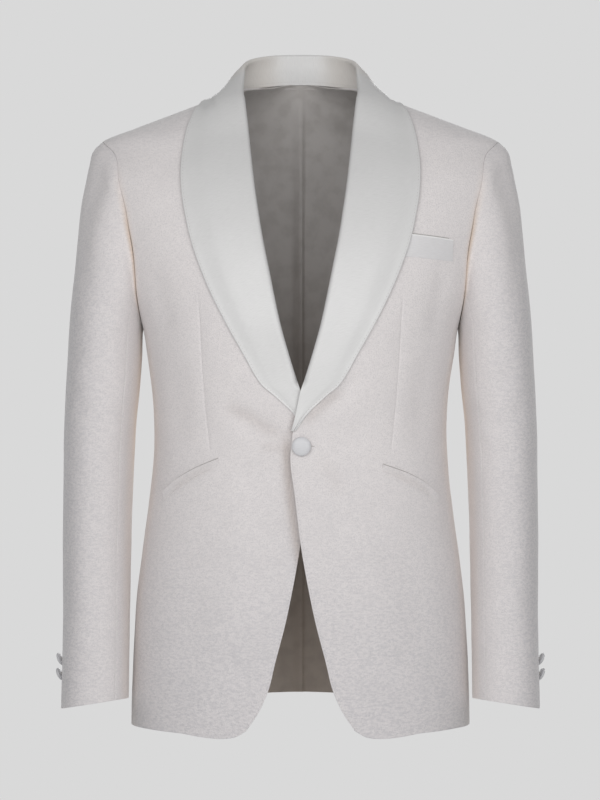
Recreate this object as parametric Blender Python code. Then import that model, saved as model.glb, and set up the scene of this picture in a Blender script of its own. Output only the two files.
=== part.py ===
"""A one-button dinner jacket with a satin shawl collar, filled out as it is when worn.

Metres, +Z up. The jacket faces -Y and the wearer's left is +X. The origin is midway between the two
points where the shoulder seams reach the neck, so a drop is a distance below that level. Each cut
piece is a wall of cloth: its outer face runs through a grid of points on the jacket's own surface,
and its inner face lies one cloth thickness within.

The left half is worked out from the tables below. The right half is its mirror, and its front sinks
behind the left one where the two lap.
"""

import math
from bisect import bisect_right
from typing import NamedTuple

import bmesh
import bpy
import numpy as np
from mathutils import Vector

CLOTH = 0.002  # thickness of the jacket cloth and of the satin
LINING = 0.001
WELT = 0.0012
SEAM_GAP = 0.0003  # between two pieces that are sewn together
REST_GAP = 0.0006  # under a piece that lies on another

SIDE_ROWS = 15  # rows of the grids between hem and armhole
ARMHOLE_ROWS = 9  # rows up each side of the armhole
ARMPIT_COLUMNS = 5
FRONT_COLUMNS = 10
NECK_COLUMNS = 4
SHOULDER_COLUMNS = 7
LINING_COLUMNS = 8


class Section(NamedTuple):
    """The body's outline at one level: a rounded shape that is flatter the squarer it is."""

    drop: float
    half_width: float
    front: float  # from the middle line to the chest
    back: float  # from the middle line to the back
    middle: float  # the middle line's own place along Y
    square: float  # 2 is an ellipse


BODY = (
    Section(-0.0200, 0.0300, 0.044, 0.071, 0.004, 2.10),
    Section(-0.0125, 0.0450, 0.045, 0.075, 0.004, 2.10),
    Section(0.0000, 0.0780, 0.048, 0.082, 0.004, 2.10),
    Section(0.0140, 0.1150, 0.057, 0.090, 0.004, 2.10),
    Section(0.0280, 0.1520, 0.065, 0.097, 0.004, 2.10),
    Section(0.0420, 0.1890, 0.071, 0.102, 0.004, 2.12),
    Section(0.0560, 0.2245, 0.077, 0.106, 0.004, 2.15),
    Section(0.0730, 0.2330, 0.088, 0.111, 0.004, 2.18),
    Section(0.1000, 0.2425, 0.103, 0.118, 0.003, 2.25),
    Section(0.1450, 0.2300, 0.120, 0.126, 0.002, 2.35),
    Section(0.1900, 0.2095, 0.130, 0.129, 0.001, 2.40),
    Section(0.2280, 0.1953, 0.133, 0.128, 0.000, 2.40),
    Section(0.2680, 0.1795, 0.134, 0.124, 0.000, 2.40),
    Section(0.3000, 0.1744, 0.131, 0.118, 0.000, 2.35),
    Section(0.3400, 0.1687, 0.126, 0.1075, 0.000, 2.30),
    Section(0.3850, 0.1662, 0.1195, 0.0985, 0.000, 2.25),
    Section(0.4300, 0.1682, 0.1185, 0.0990, 0.000, 2.25),
    Section(0.4700, 0.1727, 0.1210, 0.1060, 0.000, 2.25),
    Section(0.5200, 0.1794, 0.1265, 0.1160, 0.000, 2.28),
    Section(0.5800, 0.1865, 0.1305, 0.1235, 0.000, 2.30),
    Section(0.6400, 0.1900, 0.1320, 0.1270, 0.000, 2.33),
    Section(0.7000, 0.1918, 0.1330, 0.1280, 0.000, 2.35),
    Section(0.7400, 0.1930, 0.1330, 0.1280, 0.000, 2.35),
)

# The armhole is an ellipse seen from the side, lying on the body's surface.
ARMHOLE_MIDDLE = 0.004
ARMHOLE_DROP = 0.162
ARMHOLE_HALF_DEPTH = 0.078
ARMHOLE_HALF_HEIGHT = 0.106
ARMHOLE_FRONT_SEAM = math.radians(130.8)  # where the side panel's front seam meets it
ARMHOLE_BACK_SEAM = math.radians(228.1)


class SidePoint(NamedTuple):
    """Where the side panel's two seams lie at one level."""

    drop: float
    front_y: float
    back_y: float


SIDE_SEAMS = (
    SidePoint(0.2313, -0.0550, 0.0621),
    SidePoint(0.3000, -0.0480, 0.0560),
    SidePoint(0.3850, -0.0400, 0.0500),
    SidePoint(0.4700, -0.0430, 0.0520),
    SidePoint(0.6000, -0.0490, 0.0580),
    SidePoint(0.7176, -0.0520, 0.0620),
)
FRONT_HEM_DROP = 0.7176
BACK_HEM_DROP = 0.7120


class EdgePoint(NamedTuple):
    """One point of an outline on the front or the back: how far past the centre line, and its drop."""

    across: float
    drop: float


# The front edge from the button's level down to the corner of the cutaway quarter.
FRONT_EDGE = (
    EdgePoint(-0.0082, 0.3839),
    EdgePoint(-0.0104, 0.4015),
    EdgePoint(-0.0112, 0.4100),
    EdgePoint(-0.0060, 0.4600),
    EdgePoint(0.0003, 0.5112),
    EdgePoint(0.0079, 0.5550),
    EdgePoint(0.0166, 0.5965),
    EdgePoint(0.0274, 0.6376),
    EdgePoint(0.0361, 0.6713),
    EdgePoint(0.0466, 0.6940),
    EdgePoint(0.0598, 0.7135),
)
FRONT_HEM = (
    EdgePoint(0.0598, 0.7135),
    EdgePoint(0.0708, 0.7200),
    EdgePoint(0.0859, 0.7226),
    EdgePoint(0.1076, 0.7218),
    EdgePoint(0.1292, 0.7190),
    EdgePoint(0.1524, 0.7180),
)
BACK_HEM = (
    EdgePoint(0.0000, 0.6963),
    EdgePoint(0.0500, 0.6980),
    EdgePoint(0.1000, 0.7030),
    EdgePoint(0.1500, 0.7090),
)
BACK_NECK = (
    EdgePoint(0.0000, -0.0125),
    EdgePoint(0.0300, -0.0115),
    EdgePoint(0.0550, -0.0075),
    EdgePoint(0.0710, -0.0028),
)
NECK_POINT_DROP = 0.0006
SHOULDER_POINT_DROP = 0.0560
ROLL_INSET = 0.0058  # the front's edge stops this far inside the collar's fold
INSET_ENDS = (0.362, 0.366)  # full down to the first drop, and none below the second
NECK_FLARE = (0.030, 0.0105)  # above this drop the front's edge swings out to the neck point

# The right front sinks this far behind the left, over these drops and this near the centre.
LAP_DEPTH = 0.0066
LAP_DROPS = (0.240, 0.338, 0.515, 0.640)
LAP_ACROSS = (0.016, 0.080)


class SleeveRing(NamedTuple):
    """One ring of the sleeve, from its outermost point to its innermost."""

    outer_drop: float
    outer_x: float
    inner_x: float
    inner_drop: float
    middle: float
    half_depth: float
    square: float


SLEEVE = (
    SleeveRing(0.0560, 0.2245, 0.1795, 0.2680, 0.004, 0.0780, 2.00),
    SleeveRing(0.0640, 0.2334, 0.1799, 0.2690, 0.004, 0.0786, 2.00),
    SleeveRing(0.0840, 0.2402, 0.1800, 0.2705, 0.004, 0.0800, 2.04),
    SleeveRing(0.1030, 0.2442, 0.1801, 0.2720, 0.003, 0.0808, 2.08),
    SleeveRing(0.1300, 0.2492, 0.1802, 0.2740, 0.002, 0.0812, 2.12),
    SleeveRing(0.1700, 0.2533, 0.1803, 0.2770, 0.001, 0.0808, 2.15),
    SleeveRing(0.2100, 0.2572, 0.1804, 0.2815, 0.000, 0.0796, 2.15),
    SleeveRing(0.2500, 0.2612, 0.1805, 0.2895, -0.001, 0.0780, 2.15),
    SleeveRing(0.2900, 0.2638, 0.1809, 0.3050, -0.002, 0.0762, 2.15),
    SleeveRing(0.3300, 0.2662, 0.1828, 0.3350, -0.003, 0.0742, 2.15),
    SleeveRing(0.3760, 0.2682, 0.1868, 0.3770, -0.004, 0.0715, 2.15),
    SleeveRing(0.4490, 0.2690, 0.1904, 0.4490, -0.009, 0.0662, 2.15),
    SleeveRing(0.5390, 0.2689, 0.1924, 0.5380, -0.020, 0.0605, 2.15),
    SleeveRing(0.6220, 0.2679, 0.1929, 0.6180, -0.033, 0.0555, 2.15),
    SleeveRing(0.6975, 0.2690, 0.1936, 0.6860, -0.045, 0.0525, 2.15),
)
SLEEVE_RING_DROPS = (0.056, 0.064, 0.074, 0.086, 0.103, 0.124, 0.148, 0.174, 0.202, 0.230, 0.260)
SLEEVE_RING_DROPS += (0.292, 0.326, 0.364, 0.408, 0.456, 0.504, 0.552, 0.600, 0.650, 0.6975)
SLEEVE_HEAD_END = 0.215  # below this the rings no longer follow the armhole's own curve
BACK_ARM_SEAM_RISE = 5  # armhole rows from the side panel up to the sleeve's back seam
BACK_ARM_SEAM_AT_CUFF = math.radians(330.0)


class NeckRow(NamedTuple):
    """One section of the collar round the neck: fold, outer edge on the back, and neck seam."""

    fold_x: float
    fold_y: float
    fold_drop: float
    edge_across: float
    edge_drop: float
    seam_x: float
    seam_y: float
    seam_drop: float


class LapelRow(NamedTuple):
    """One section of the collar down the front: roll line, outer edge, and how far it folds under."""

    roll_across: float
    roll_drop: float
    edge_across: float
    edge_drop: float
    wrap: float  # degrees
    turn_in: float
    edge_lift: float


NECK_ROWS = (
    NeckRow(0.0000, 0.0756, -0.0517, 0.0000, -0.0020, 0.0000, 0.0757, -0.0131),
    NeckRow(0.0305, 0.0700, -0.0502, 0.0450, 0.0020, 0.0290, 0.0705, -0.0123),
    NeckRow(0.0535, 0.0505, -0.0440, 0.0800, 0.0070, 0.0540, 0.0560, -0.0087),
    NeckRow(0.0627, 0.0294, -0.0350, 0.1000, 0.0100, 0.0670, 0.0330, -0.0055),
    NeckRow(0.0640, 0.0110, -0.0225, 0.1081, 0.0114, 0.0705, 0.0100, -0.0030),
)
LAPEL_ROWS = (
    LapelRow(0.0646, 0.0000, 0.1155, 0.0200, 180, 0.006, 0.0042),
    LapelRow(0.0626, 0.0120, 0.1215, 0.0320, 180, 0.006, 0.0042),
    LapelRow(0.0604, 0.0280, 0.1276, 0.0510, 180, 0.008, 0.0042),
    LapelRow(0.0575, 0.0520, 0.1312, 0.0750, 180, 0.012, 0.0042),
    LapelRow(0.0545, 0.0800, 0.1325, 0.0990, 180, 0.012, 0.0042),
    LapelRow(0.0506, 0.1130, 0.1306, 0.1250, 180, 0.012, 0.0042),
    LapelRow(0.0459, 0.1450, 0.1265, 0.1480, 180, 0.012, 0.0042),
    LapelRow(0.0410, 0.1750, 0.1200, 0.1750, 180, 0.012, 0.0042),
    LapelRow(0.0350, 0.2050, 0.1097, 0.2050, 180, 0.012, 0.0042),
    LapelRow(0.0288, 0.2360, 0.0970, 0.2350, 180, 0.011, 0.0040),
    LapelRow(0.0214, 0.2698, 0.0800, 0.2685, 180, 0.010, 0.0038),
    LapelRow(0.0125, 0.3015, 0.0620, 0.3010, 180, 0.007, 0.0034),
    LapelRow(0.0050, 0.3260, 0.0448, 0.3313, 90, 0.003, 0.0030),
    LapelRow(-0.0003, 0.3422, 0.0290, 0.3457, 0, 0.001, 0.0028),
    LapelRow(-0.0040, 0.3620, 0.0090, 0.3642, 0, 0.001, 0.0027),
    LapelRow(-0.0078, 0.3800, -0.0026, 0.3765, 0, 0.0006, 0.0026),
)
FOLD_RADIUS = 0.0050
NECK_FOLD_RADIUS = 0.0026  # round the neck, where the fold is pressed flat
FLAT_FOLD = 0.0022  # length of the fold's strip where the collar lies flat
FLAT_RISE = 0.0027  # height of the collar's outer face where it lies flat
COLLAR_ROWS = 25
ROWS_NEAR_BACK_SEAM = 6  # these keep half a seam's gap from the collar's centre back seam
TURN_IN_COLUMNS = 3
FOLD_COLUMNS = 4
LEAF_COLUMNS = 7


class WeltRow(NamedTuple):
    """One section of a welt on the front: its upper edge, and its height below that."""

    across: float
    drop: float
    height: float


BREAST_WELT = (
    WeltRow(0.1140, 0.1676, 0.0256),
    WeltRow(0.1290, 0.1690, 0.0252),
    WeltRow(0.1450, 0.1706, 0.0250),
    WeltRow(0.1600, 0.1722, 0.0247),
    WeltRow(0.1685, 0.1734, 0.0240),
)
# The left front is drawn down a little by the lap, and its pocket with it.
HIP_WELT_LEFT = (
    WeltRow(0.0905, 0.4221, 0.0070),
    WeltRow(0.1060, 0.4276, 0.0085),
    WeltRow(0.1194, 0.4329, 0.0095),
    WeltRow(0.1342, 0.4409, 0.0105),
    WeltRow(0.1450, 0.4492, 0.0110),
    WeltRow(0.1530, 0.4572, 0.0112),
)
HIP_WELT_RIGHT = (
    WeltRow(0.0905, 0.4157, 0.0070),
    WeltRow(0.1060, 0.4222, 0.0085),
    WeltRow(0.1194, 0.4285, 0.0095),
    WeltRow(0.1342, 0.4372, 0.0105),
    WeltRow(0.1450, 0.4455, 0.0110),
    WeltRow(0.1530, 0.4535, 0.0112),
)

FRONT_BUTTON_ACROSS = 0.0010
FRONT_BUTTON_DROP = 0.4018
FRONT_BUTTON_RADIUS = 0.0105
FRONT_BUTTON_SHANK = 0.0020
CUFF_BUTTON_DROPS = (0.6450, 0.6618)
CUFF_BUTTON_RADIUS = 0.0077
CUFF_BUTTON_LIFT = 0.0062
CUFF_BUTTON_SHANK = 0.0036
CUFF_BUTTON_TILT = math.radians(27)
CUFF_BUTTON_COLUMN = 0.25  # of the way round from the back seam to the sleeve's outermost line
BUTTON_DEPTH = 0.0020  # from a button's place down to its underside, where the shank starts
BUTTON_STEPS = 16

IVORY_CLOTH = ("ivory_cloth", (0.72, 0.69, 0.66), 0.85)
IVORY_SATIN = ("ivory_satin", (0.80, 0.79, 0.77), 0.38)
TAUPE_LINING = ("taupe_lining", (0.27, 0.25, 0.23), 0.60)


# Curves and surfaces


class Track:
    """A smooth curve through the rows of a table, read at any value of its first column."""

    def __init__(self, rows):
        table = np.array(rows, float)
        self.keys = table[:, 0].tolist()
        self.values = table[:, 1:]
        steps = np.diff(table[:, 0])[:, None]
        rises = np.diff(self.values, axis=0) / steps
        inner = (rises[:-1] * steps[1:] + rises[1:] * steps[:-1]) / (steps[:-1] + steps[1:])
        self.slopes = np.concatenate([rises[:1], inner, rises[-1:]])

    def at(self, key):
        key = min(max(key, self.keys[0]), self.keys[-1])
        row = min(bisect_right(self.keys, key), len(self.keys) - 1) - 1
        step = self.keys[row + 1] - self.keys[row]
        f = (key - self.keys[row]) / step
        ends = self.values[row] * (1 + 2 * f) * (1 - f) ** 2 + self.values[row + 1] * f * f * (3 - 2 * f)
        bends = self.slopes[row] * f * (1 - f) ** 2 - self.slopes[row + 1] * f * f * (1 - f)
        return ends + bends * step


def through(points, fractions):
    """Points along the smooth curve through `points`, at these fractions of its length."""
    points = np.array(points, float)
    ways = np.concatenate([[0], np.cumsum(np.linalg.norm(np.diff(points, axis=0), axis=1))])
    track = Track(np.column_stack([ways, points]))
    fine = np.array([track.at(way) for way in np.linspace(0, ways[-1], 400)])
    lengths = np.concatenate([[0], np.cumsum(np.linalg.norm(np.diff(fine, axis=0), axis=1))])
    wanted = np.array(fractions) * lengths[-1]
    return np.column_stack([np.interp(wanted, lengths, fine[:, axis]) for axis in range(3)])


def fractions_of(points):
    """How far along its own length each of these points lies."""
    lengths = np.concatenate([[0], np.cumsum(np.linalg.norm(np.diff(points, axis=0), axis=1))])
    return lengths / lengths[-1]


def unit(vector):
    return vector / max(np.linalg.norm(vector), 1e-12)


def ease(start, end, value):
    """0 before `start`, 1 past `end`, and a smooth rise between."""
    f = min(max((value - start) / (end - start), 0.0), 1.0)
    return f * f * (3 - 2 * f)


BODY_TRACK = Track(BODY)
SEAM_TRACK = Track(SIDE_SEAMS)
SLEEVE_TRACK = Track(SLEEVE)


def level(point):
    """Below 0 inside the body's surface, 0 on it and above 0 outside."""
    x, y, z = point
    half_width, front, back, middle, square = BODY_TRACK.at(-z)
    depth = back if y > middle else front
    return ((abs(x) / half_width) ** square + (abs(y - middle) / depth) ** square) ** (1 / square) - 1


def slope(point):
    """The way out of the body's surface, as steep as `level` rises."""
    steps = np.eye(3) * 1e-4
    return np.array([level(point + step) - level(point - step) for step in steps]) / 2e-4


def outward(point):
    return unit(slope(point))


def height(point):
    """Distance of a point from the body's surface."""
    return level(point) / np.linalg.norm(slope(point))


def on_skin(point):
    """The point of the body's surface nearest to this one."""
    for _ in range(8):
        gradient = slope(point)
        point = point - gradient * level(point) / gradient.dot(gradient)
    return point


def on_front(across, drop, lift=0.0, facing=-1):
    """A point of the front, or with facing 1 of the back, this far off its surface."""
    half_width, front, back, middle, square = BODY_TRACK.at(drop)
    depth = back if facing > 0 else front
    share = max(1 - (abs(across) / half_width) ** square, 0.0) ** (1 / square)
    point = np.array([min(across, half_width), middle + facing * depth * share, -drop])
    return point + outward(point) * lift


def on_side(y, drop):
    """The point of the left side at this depth and level."""
    half_width, front, back, middle, square = BODY_TRACK.at(drop)
    depth = back if y > middle else front
    share = max(1 - (abs(y - middle) / depth) ** square, 0.0) ** (1 / square)
    return np.array([half_width * share, y, -drop])


# Seams: the points of each, and the direction across it in the cloth


def across_seam(points, towards):
    """Unit vectors in the cloth's surface, square to the seam, on the side of `towards`."""
    tangents = np.gradient(points, axis=0)
    vectors = [unit(np.cross(outward(p), t)) for p, t in zip(points, tangents)]
    return np.array([v if v.dot(towards(p)) > 0 else -v for v, p in zip(vectors, points)])


def armhole_point(angle):
    y = ARMHOLE_MIDDLE - ARMHOLE_HALF_DEPTH * math.sin(angle)
    drop = ARMHOLE_DROP - ARMHOLE_HALF_HEIGHT * math.cos(angle)
    return on_side(y, drop)


def armhole_angles():
    """Angles round the armhole from the shoulder, down the front, under the arm and up the back."""
    front = np.linspace(0, ARMHOLE_FRONT_SEAM, ARMHOLE_ROWS + 1)
    under = np.linspace(ARMHOLE_FRONT_SEAM, ARMHOLE_BACK_SEAM, ARMPIT_COLUMNS + 1)
    back = np.linspace(ARMHOLE_BACK_SEAM, 2 * math.pi, ARMHOLE_ROWS + 1)
    return np.concatenate([front, under[1:], back[1:]])


ANGLES = armhole_angles()
ARMHOLE = np.array([armhole_point(angle) for angle in ANGLES])
ARMHOLE_CENTRE = np.array([0.2, ARMHOLE_MIDDLE, -ARMHOLE_DROP])
_closed = np.concatenate([ARMHOLE[-2:-1], ARMHOLE, ARMHOLE[1:2]])
ARMHOLE_ACROSS = across_seam(_closed, lambda p: ARMHOLE_CENTRE - p)[1:-1]
HALF_GAP = SEAM_GAP / 2


def side_seam(front):
    """The seam at the front or the back of the side panel, from the hem up to the armhole."""
    hem = FRONT_HEM_DROP if front else BACK_HEM_DROP
    column = 0 if front else 1
    top = ARMHOLE[ARMHOLE_ROWS] if front else ARMHOLE[ARMHOLE_ROWS + ARMPIT_COLUMNS]
    drops = np.linspace(hem, -top[2], SIDE_ROWS + 1)
    points = np.array([on_side(SEAM_TRACK.at(drop)[column], drop) for drop in drops])
    points[-1] = top
    return points


SIDE_FRONT = side_seam(True)
SIDE_BACK = side_seam(False)
SIDE_FRONT_ACROSS = across_seam(SIDE_FRONT, lambda p: np.array([0, 1, 0]))
SIDE_BACK_ACROSS = across_seam(SIDE_BACK, lambda p: np.array([0, 1, 0]))


def shoulder_seam(fractions):
    drops = NECK_POINT_DROP + (SHOULDER_POINT_DROP - NECK_POINT_DROP) * np.array(fractions)
    return np.array([on_front(1.0, drop) for drop in drops])


# Grids of the body's panels


def patch(bottom, top, left, right):
    """A grid on the body's surface between its four edges, each a row of points."""
    rows, columns = len(left), len(bottom)
    grid = np.zeros((rows, columns, 3))
    for i in range(rows):
        v = i / (rows - 1)
        for j in range(columns):
            u = j / (columns - 1)
            lofts = (1 - v) * bottom[j] + v * top[j] + (1 - u) * left[i] + u * right[i]
            low = (1 - u) * bottom[0] + u * bottom[-1]
            high = (1 - u) * top[0] + u * top[-1]
            point = lofts - (1 - v) * low - v * high
            edge = i in (0, rows - 1) or j in (0, columns - 1)
            grid[i, j] = point if edge else on_skin(point)
    return grid


def normals_of(grid):
    return np.array([[outward(point) for point in row] for row in grid])


def roll_across(drop):
    """How far past the centre line the collar's roll line or the front's own edge lies."""
    if drop < LAPEL_ROWS[-1].roll_drop:
        return ROLL_TRACK.at(drop)[0]
    return EDGE_TRACK.at(drop)[0]


ROLL_TRACK = Track([(row.roll_drop, row.roll_across) for row in LAPEL_ROWS])
EDGE_TRACK = Track([(row.drop, row.across) for row in FRONT_EDGE])


def front_edge_point(drop):
    """The front panel's own edge, which stops inside the collar's fold and swings out to the neck."""
    inset = ROLL_INSET * (1 - ease(INSET_ENDS[0], INSET_ENDS[1], drop))
    flare = NECK_FLARE[1] * (1 - ease(0, NECK_FLARE[0], drop))
    return on_front(roll_across(drop) + inset + flare, drop)


def front_grid():
    lateral = np.concatenate([SIDE_FRONT, ARMHOLE[:ARMHOLE_ROWS][::-1]])
    fractions = fractions_of(lateral)
    lateral[: SIDE_ROWS + 1] -= SIDE_FRONT_ACROSS * HALF_GAP
    lateral[SIDE_ROWS:] -= ARMHOLE_ACROSS[: ARMHOLE_ROWS + 1][::-1] * HALF_GAP
    drops = list(np.linspace(FRONT_EDGE[-1].drop, 0.006, 120))
    medial = [front_edge_point(drop) for drop in drops] + [on_front(1.0, NECK_POINT_DROP)]
    medial = through(medial, fractions)
    hem = [on_front(row.across, row.drop) for row in FRONT_HEM] + [SIDE_FRONT[0]]
    columns = np.linspace(0, 1, FRONT_COLUMNS + 1)
    bottom = through(hem, columns)
    top = shoulder_seam(columns)
    top[:, 1] -= HALF_GAP
    lateral[-1, 1] -= HALF_GAP
    bottom[-1], top[-1] = lateral[0], lateral[-1]
    medial[0], medial[-1] = bottom[0], top[0]
    return patch(bottom, top, medial, lateral)


def back_grid():
    lateral = np.concatenate([SIDE_BACK, ARMHOLE[-ARMHOLE_ROWS:]])
    fractions = fractions_of(lateral)
    lateral[: SIDE_ROWS + 1] += SIDE_BACK_ACROSS * HALF_GAP
    lateral[SIDE_ROWS:] -= ARMHOLE_ACROSS[-ARMHOLE_ROWS - 1 :] * HALF_GAP
    drops = np.linspace(BACK_HEM[0].drop, BACK_NECK[0].drop, 120)
    centre = through([on_front(0, drop, facing=1) for drop in drops], fractions)
    neck = [on_front(row.across, row.drop, facing=1) for row in BACK_NECK]
    neck = through(neck + [on_front(1.0, NECK_POINT_DROP)], np.linspace(0, 1, NECK_COLUMNS + 1))
    seam = shoulder_seam(np.linspace(0, 1, SHOULDER_COLUMNS + 1))
    top = np.concatenate([neck[:-1], seam])
    top[NECK_COLUMNS:, 1] += HALF_GAP
    hem = [on_front(row.across, row.drop, facing=1) for row in BACK_HEM] + [SIDE_BACK[0]]
    bottom = through(hem, np.linspace(0, 1, len(top)))
    lateral[-1, 1] += HALF_GAP
    bottom[-1], top[-1] = lateral[0], lateral[-1]
    centre[0], centre[-1] = bottom[0], top[0]
    for edge in (bottom, top, centre):
        edge[:, 0] = np.maximum(edge[:, 0], HALF_GAP)
    return patch(bottom, top, centre, lateral)


def side_grid():
    front = SIDE_FRONT + SIDE_FRONT_ACROSS * HALF_GAP
    back = SIDE_BACK - SIDE_BACK_ACROSS * HALF_GAP
    under = slice(ARMHOLE_ROWS, ARMHOLE_ROWS + ARMPIT_COLUMNS + 1)
    top = ARMHOLE[under] - ARMHOLE_ACROSS[under] * HALF_GAP
    middle = [on_side(0.0, FRONT_HEM_DROP)]
    bottom = through([front[0]] + middle + [back[0]], np.linspace(0, 1, ARMPIT_COLUMNS + 1))
    bottom = np.array([on_side(y, -z) for x, y, z in bottom])
    front[-1] -= ARMHOLE_ACROSS[under][0] * HALF_GAP
    back[-1] -= ARMHOLE_ACROSS[under][-1] * HALF_GAP
    top[0], top[-1] = front[-1], back[-1]
    bottom[0], bottom[-1] = front[0], back[0]
    return patch(bottom, top, front, back)


# Sleeves


def rounded(value, square):
    return math.copysign(abs(value) ** (2 / square), value)


BACK_ARM_SEAM = ARMHOLE_ROWS + ARMPIT_COLUMNS + BACK_ARM_SEAM_RISE
SLEEVE_COLUMNS = len(ANGLES) - 1


def sleeve_angle(column, drop):
    """The angle round the sleeve of a column, which swings with the back seam towards the cuff."""
    angle = np.interp(column, range(len(ANGLES)), ANGLES)
    if ARMHOLE_ROWS <= column <= BACK_ARM_SEAM:
        share = (column - ARMHOLE_ROWS) / (BACK_ARM_SEAM - ARMHOLE_ROWS)
    else:
        past = (column - BACK_ARM_SEAM) % SLEEVE_COLUMNS
        share = 1 - past / (ARMHOLE_ROWS + SLEEVE_COLUMNS - BACK_ARM_SEAM)
    swing = BACK_ARM_SEAM_AT_CUFF - ANGLES[BACK_ARM_SEAM]
    return angle + swing * share * ease(0.10, 0.62, drop)


def sleeve_ring(drop, angle):
    outer_x, inner_x, inner_drop, middle, half_depth, square = SLEEVE_TRACK.at(drop)
    out, forward = rounded(math.cos(angle), square), rounded(math.sin(angle), square)
    x = (outer_x + inner_x) / 2 + (outer_x - inner_x) / 2 * out
    z = -(drop + inner_drop) / 2 - (drop - inner_drop) / 2 * out
    return np.array([x, middle - half_depth * forward, z])


def sleeve_point(column, drop):
    """A point of the sleeve: on a ring, which near the armhole bends to the armhole's own curve."""
    angle = sleeve_angle(column, drop)
    top = SLEEVE[0].outer_drop
    start = np.interp(column, range(len(ANGLES)), ANGLES)
    bend = armhole_point(start) - sleeve_ring(top, start)
    return sleeve_ring(drop, angle) + bend * (1 - ease(top, SLEEVE_HEAD_END, drop))


def sleeve_normal(column, drop):
    step, fall = 0.02, 2e-4
    low = max(drop - fall, SLEEVE[0].outer_drop)
    down = sleeve_point(column, drop + fall) - sleeve_point(column, low)
    first, last = (column - step) % SLEEVE_COLUMNS, (column + step) % SLEEVE_COLUMNS
    round_it = sleeve_point(last, drop) - sleeve_point(first, drop)
    return unit(np.cross(round_it, down))


def sleeve_start(column):
    """The sleeve's first point and thickness direction, a seam's gap clear of the armhole."""
    normal = outward(ARMHOLE[column])
    own = sleeve_normal(column, SLEEVE[0].outer_drop)
    turn = max(-own.dot(normal), 0.0)
    away = unit(ARMHOLE_ACROSS[column] * (1 - turn) + normal * turn)
    lean = ease(math.cos(math.radians(80)), math.cos(math.radians(50)), math.cos(ANGLES[column]))
    return ARMHOLE[column] + away * HALF_GAP * (1 + turn), unit(normal * lean + own * (1 - lean))


def sleeve_grids():
    """Points and normals of the whole sleeve, a row for each ring."""
    points, normals = [], []
    for drop in SLEEVE_RING_DROPS:
        columns = range(SLEEVE_COLUMNS)
        if drop == SLEEVE_RING_DROPS[0]:
            started = [sleeve_start(column) for column in columns]
            points.append([point for point, _ in started])
            normals.append([normal for _, normal in started])
        else:
            points.append([sleeve_point(column, drop) for column in columns])
            normals.append([sleeve_normal(column, drop) for column in columns])
    return np.array(points), np.array(normals)


def sleeve_part(first, last):
    """The columns from one seam to the next, drawn in by half a seam's gap at each."""
    points, normals = sleeve_grids()
    columns = [column % SLEEVE_COLUMNS for column in range(first, last + 1)]
    points, normals = points[:, columns].copy(), normals[:, columns]
    for edge, inner in ((0, 1), (-1, -2)):
        for row in range(len(points)):
            near = max(row - 1, 0)
            along = points[min(row + 1, len(points) - 1), edge] - points[near, edge]
            side = unit(np.cross(normals[row, edge], along))
            inward = side if side.dot(points[row, inner] - points[row, edge]) > 0 else -side
            points[row, edge] += inward * HALF_GAP
    return points, normals


# Collar


class CollarSection(NamedTuple):
    """One section across the collar, from its neck seam or turned-in edge to its outer edge."""

    start: np.ndarray  # where the fold leaves the leaf
    up: np.ndarray
    out: np.ndarray
    fold: float
    wrap: float
    seam: np.ndarray
    edge: np.ndarray
    rise: float
    edge_lift: float


def collar_tracks():
    """Smooth curves along the collar: its roll, its outer edge, its neck seam and its small sizes."""
    roll, edge, seam, sizes = [], [], [], []
    for index, row in enumerate(NECK_ROWS):
        roll.append((index, row.fold_x, row.fold_y, -row.fold_drop))
        edge.append((index, *on_front(row.edge_across, row.edge_drop, 0.0042, facing=1)))
        seam.append((index, row.seam_x, row.seam_y, -row.seam_drop))
        sizes.append((index, 180.0, 0.016, 0.0042, 1.0))
    for index, row in enumerate(LAPEL_ROWS, len(NECK_ROWS)):
        roll.append((index, *on_front(row.roll_across, row.roll_drop)))
        edge.append((index, *on_front(row.edge_across, row.edge_drop, row.edge_lift)))
        seam.append((index, *seam[-1][1:]))
        sizes.append((index, row.wrap, row.turn_in, row.edge_lift, 0.0))
    return Track(roll), Track(edge), Track(seam), Track(sizes)


ROLL, EDGE, SEAM, SIZES = collar_tracks()
LAST_ROW = len(NECK_ROWS) + len(LAPEL_ROWS) - 1


def swept(fold, wrap, share):
    """How far forward and down a share of the fold's strip takes it, bent through `wrap` in all."""
    bend = max(wrap, 1e-3) / fold
    angle = bend * fold * share
    return math.sin(angle) / bend, (1 - math.cos(angle)) / bend


def collar_section(way):
    wrap, turn_in, edge_lift, at_neck = SIZES.at(way)
    wrap = math.radians(min(max(wrap, 0.0), 180.0))
    at_neck = min(max(at_neck, 0.0), 1.0)
    roll, edge = ROLL.at(way), EDGE.at(way)
    along = unit(ROLL.at(way + 0.05) - ROLL.at(way - 0.05))
    if way < 0.05:
        along = np.array([1.0, 0, 0])
    up = roll - edge
    up = unit(up - along * up.dot(along))
    out = unit(np.cross(up, along))
    share = wrap / math.pi
    radius = FOLD_RADIUS + (NECK_FOLD_RADIUS - FOLD_RADIUS) * at_neck
    fold = FLAT_FOLD + (math.pi * radius - FLAT_FOLD) * share
    rise = FLAT_RISE + (radius - 0.001 * (1 - at_neck) - FLAT_RISE) * share
    forward, down = swept(fold, wrap, 1.0)
    half = swept(fold, wrap, min(0.5 * math.pi / max(wrap, 1e-3), 1.0))[0]
    reach = half if wrap > math.pi / 2 else forward + turn_in * math.cos(wrap)
    start = roll - up * reach + out * rise
    end = start + up * forward - out * down
    folded = end + (up * math.cos(wrap) - out * math.sin(wrap)) * turn_in
    seam = folded + (SEAM.at(way) - folded) * at_neck
    return CollarSection(start, up, out, fold, wrap, seam, edge, rise, edge_lift)


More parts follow.
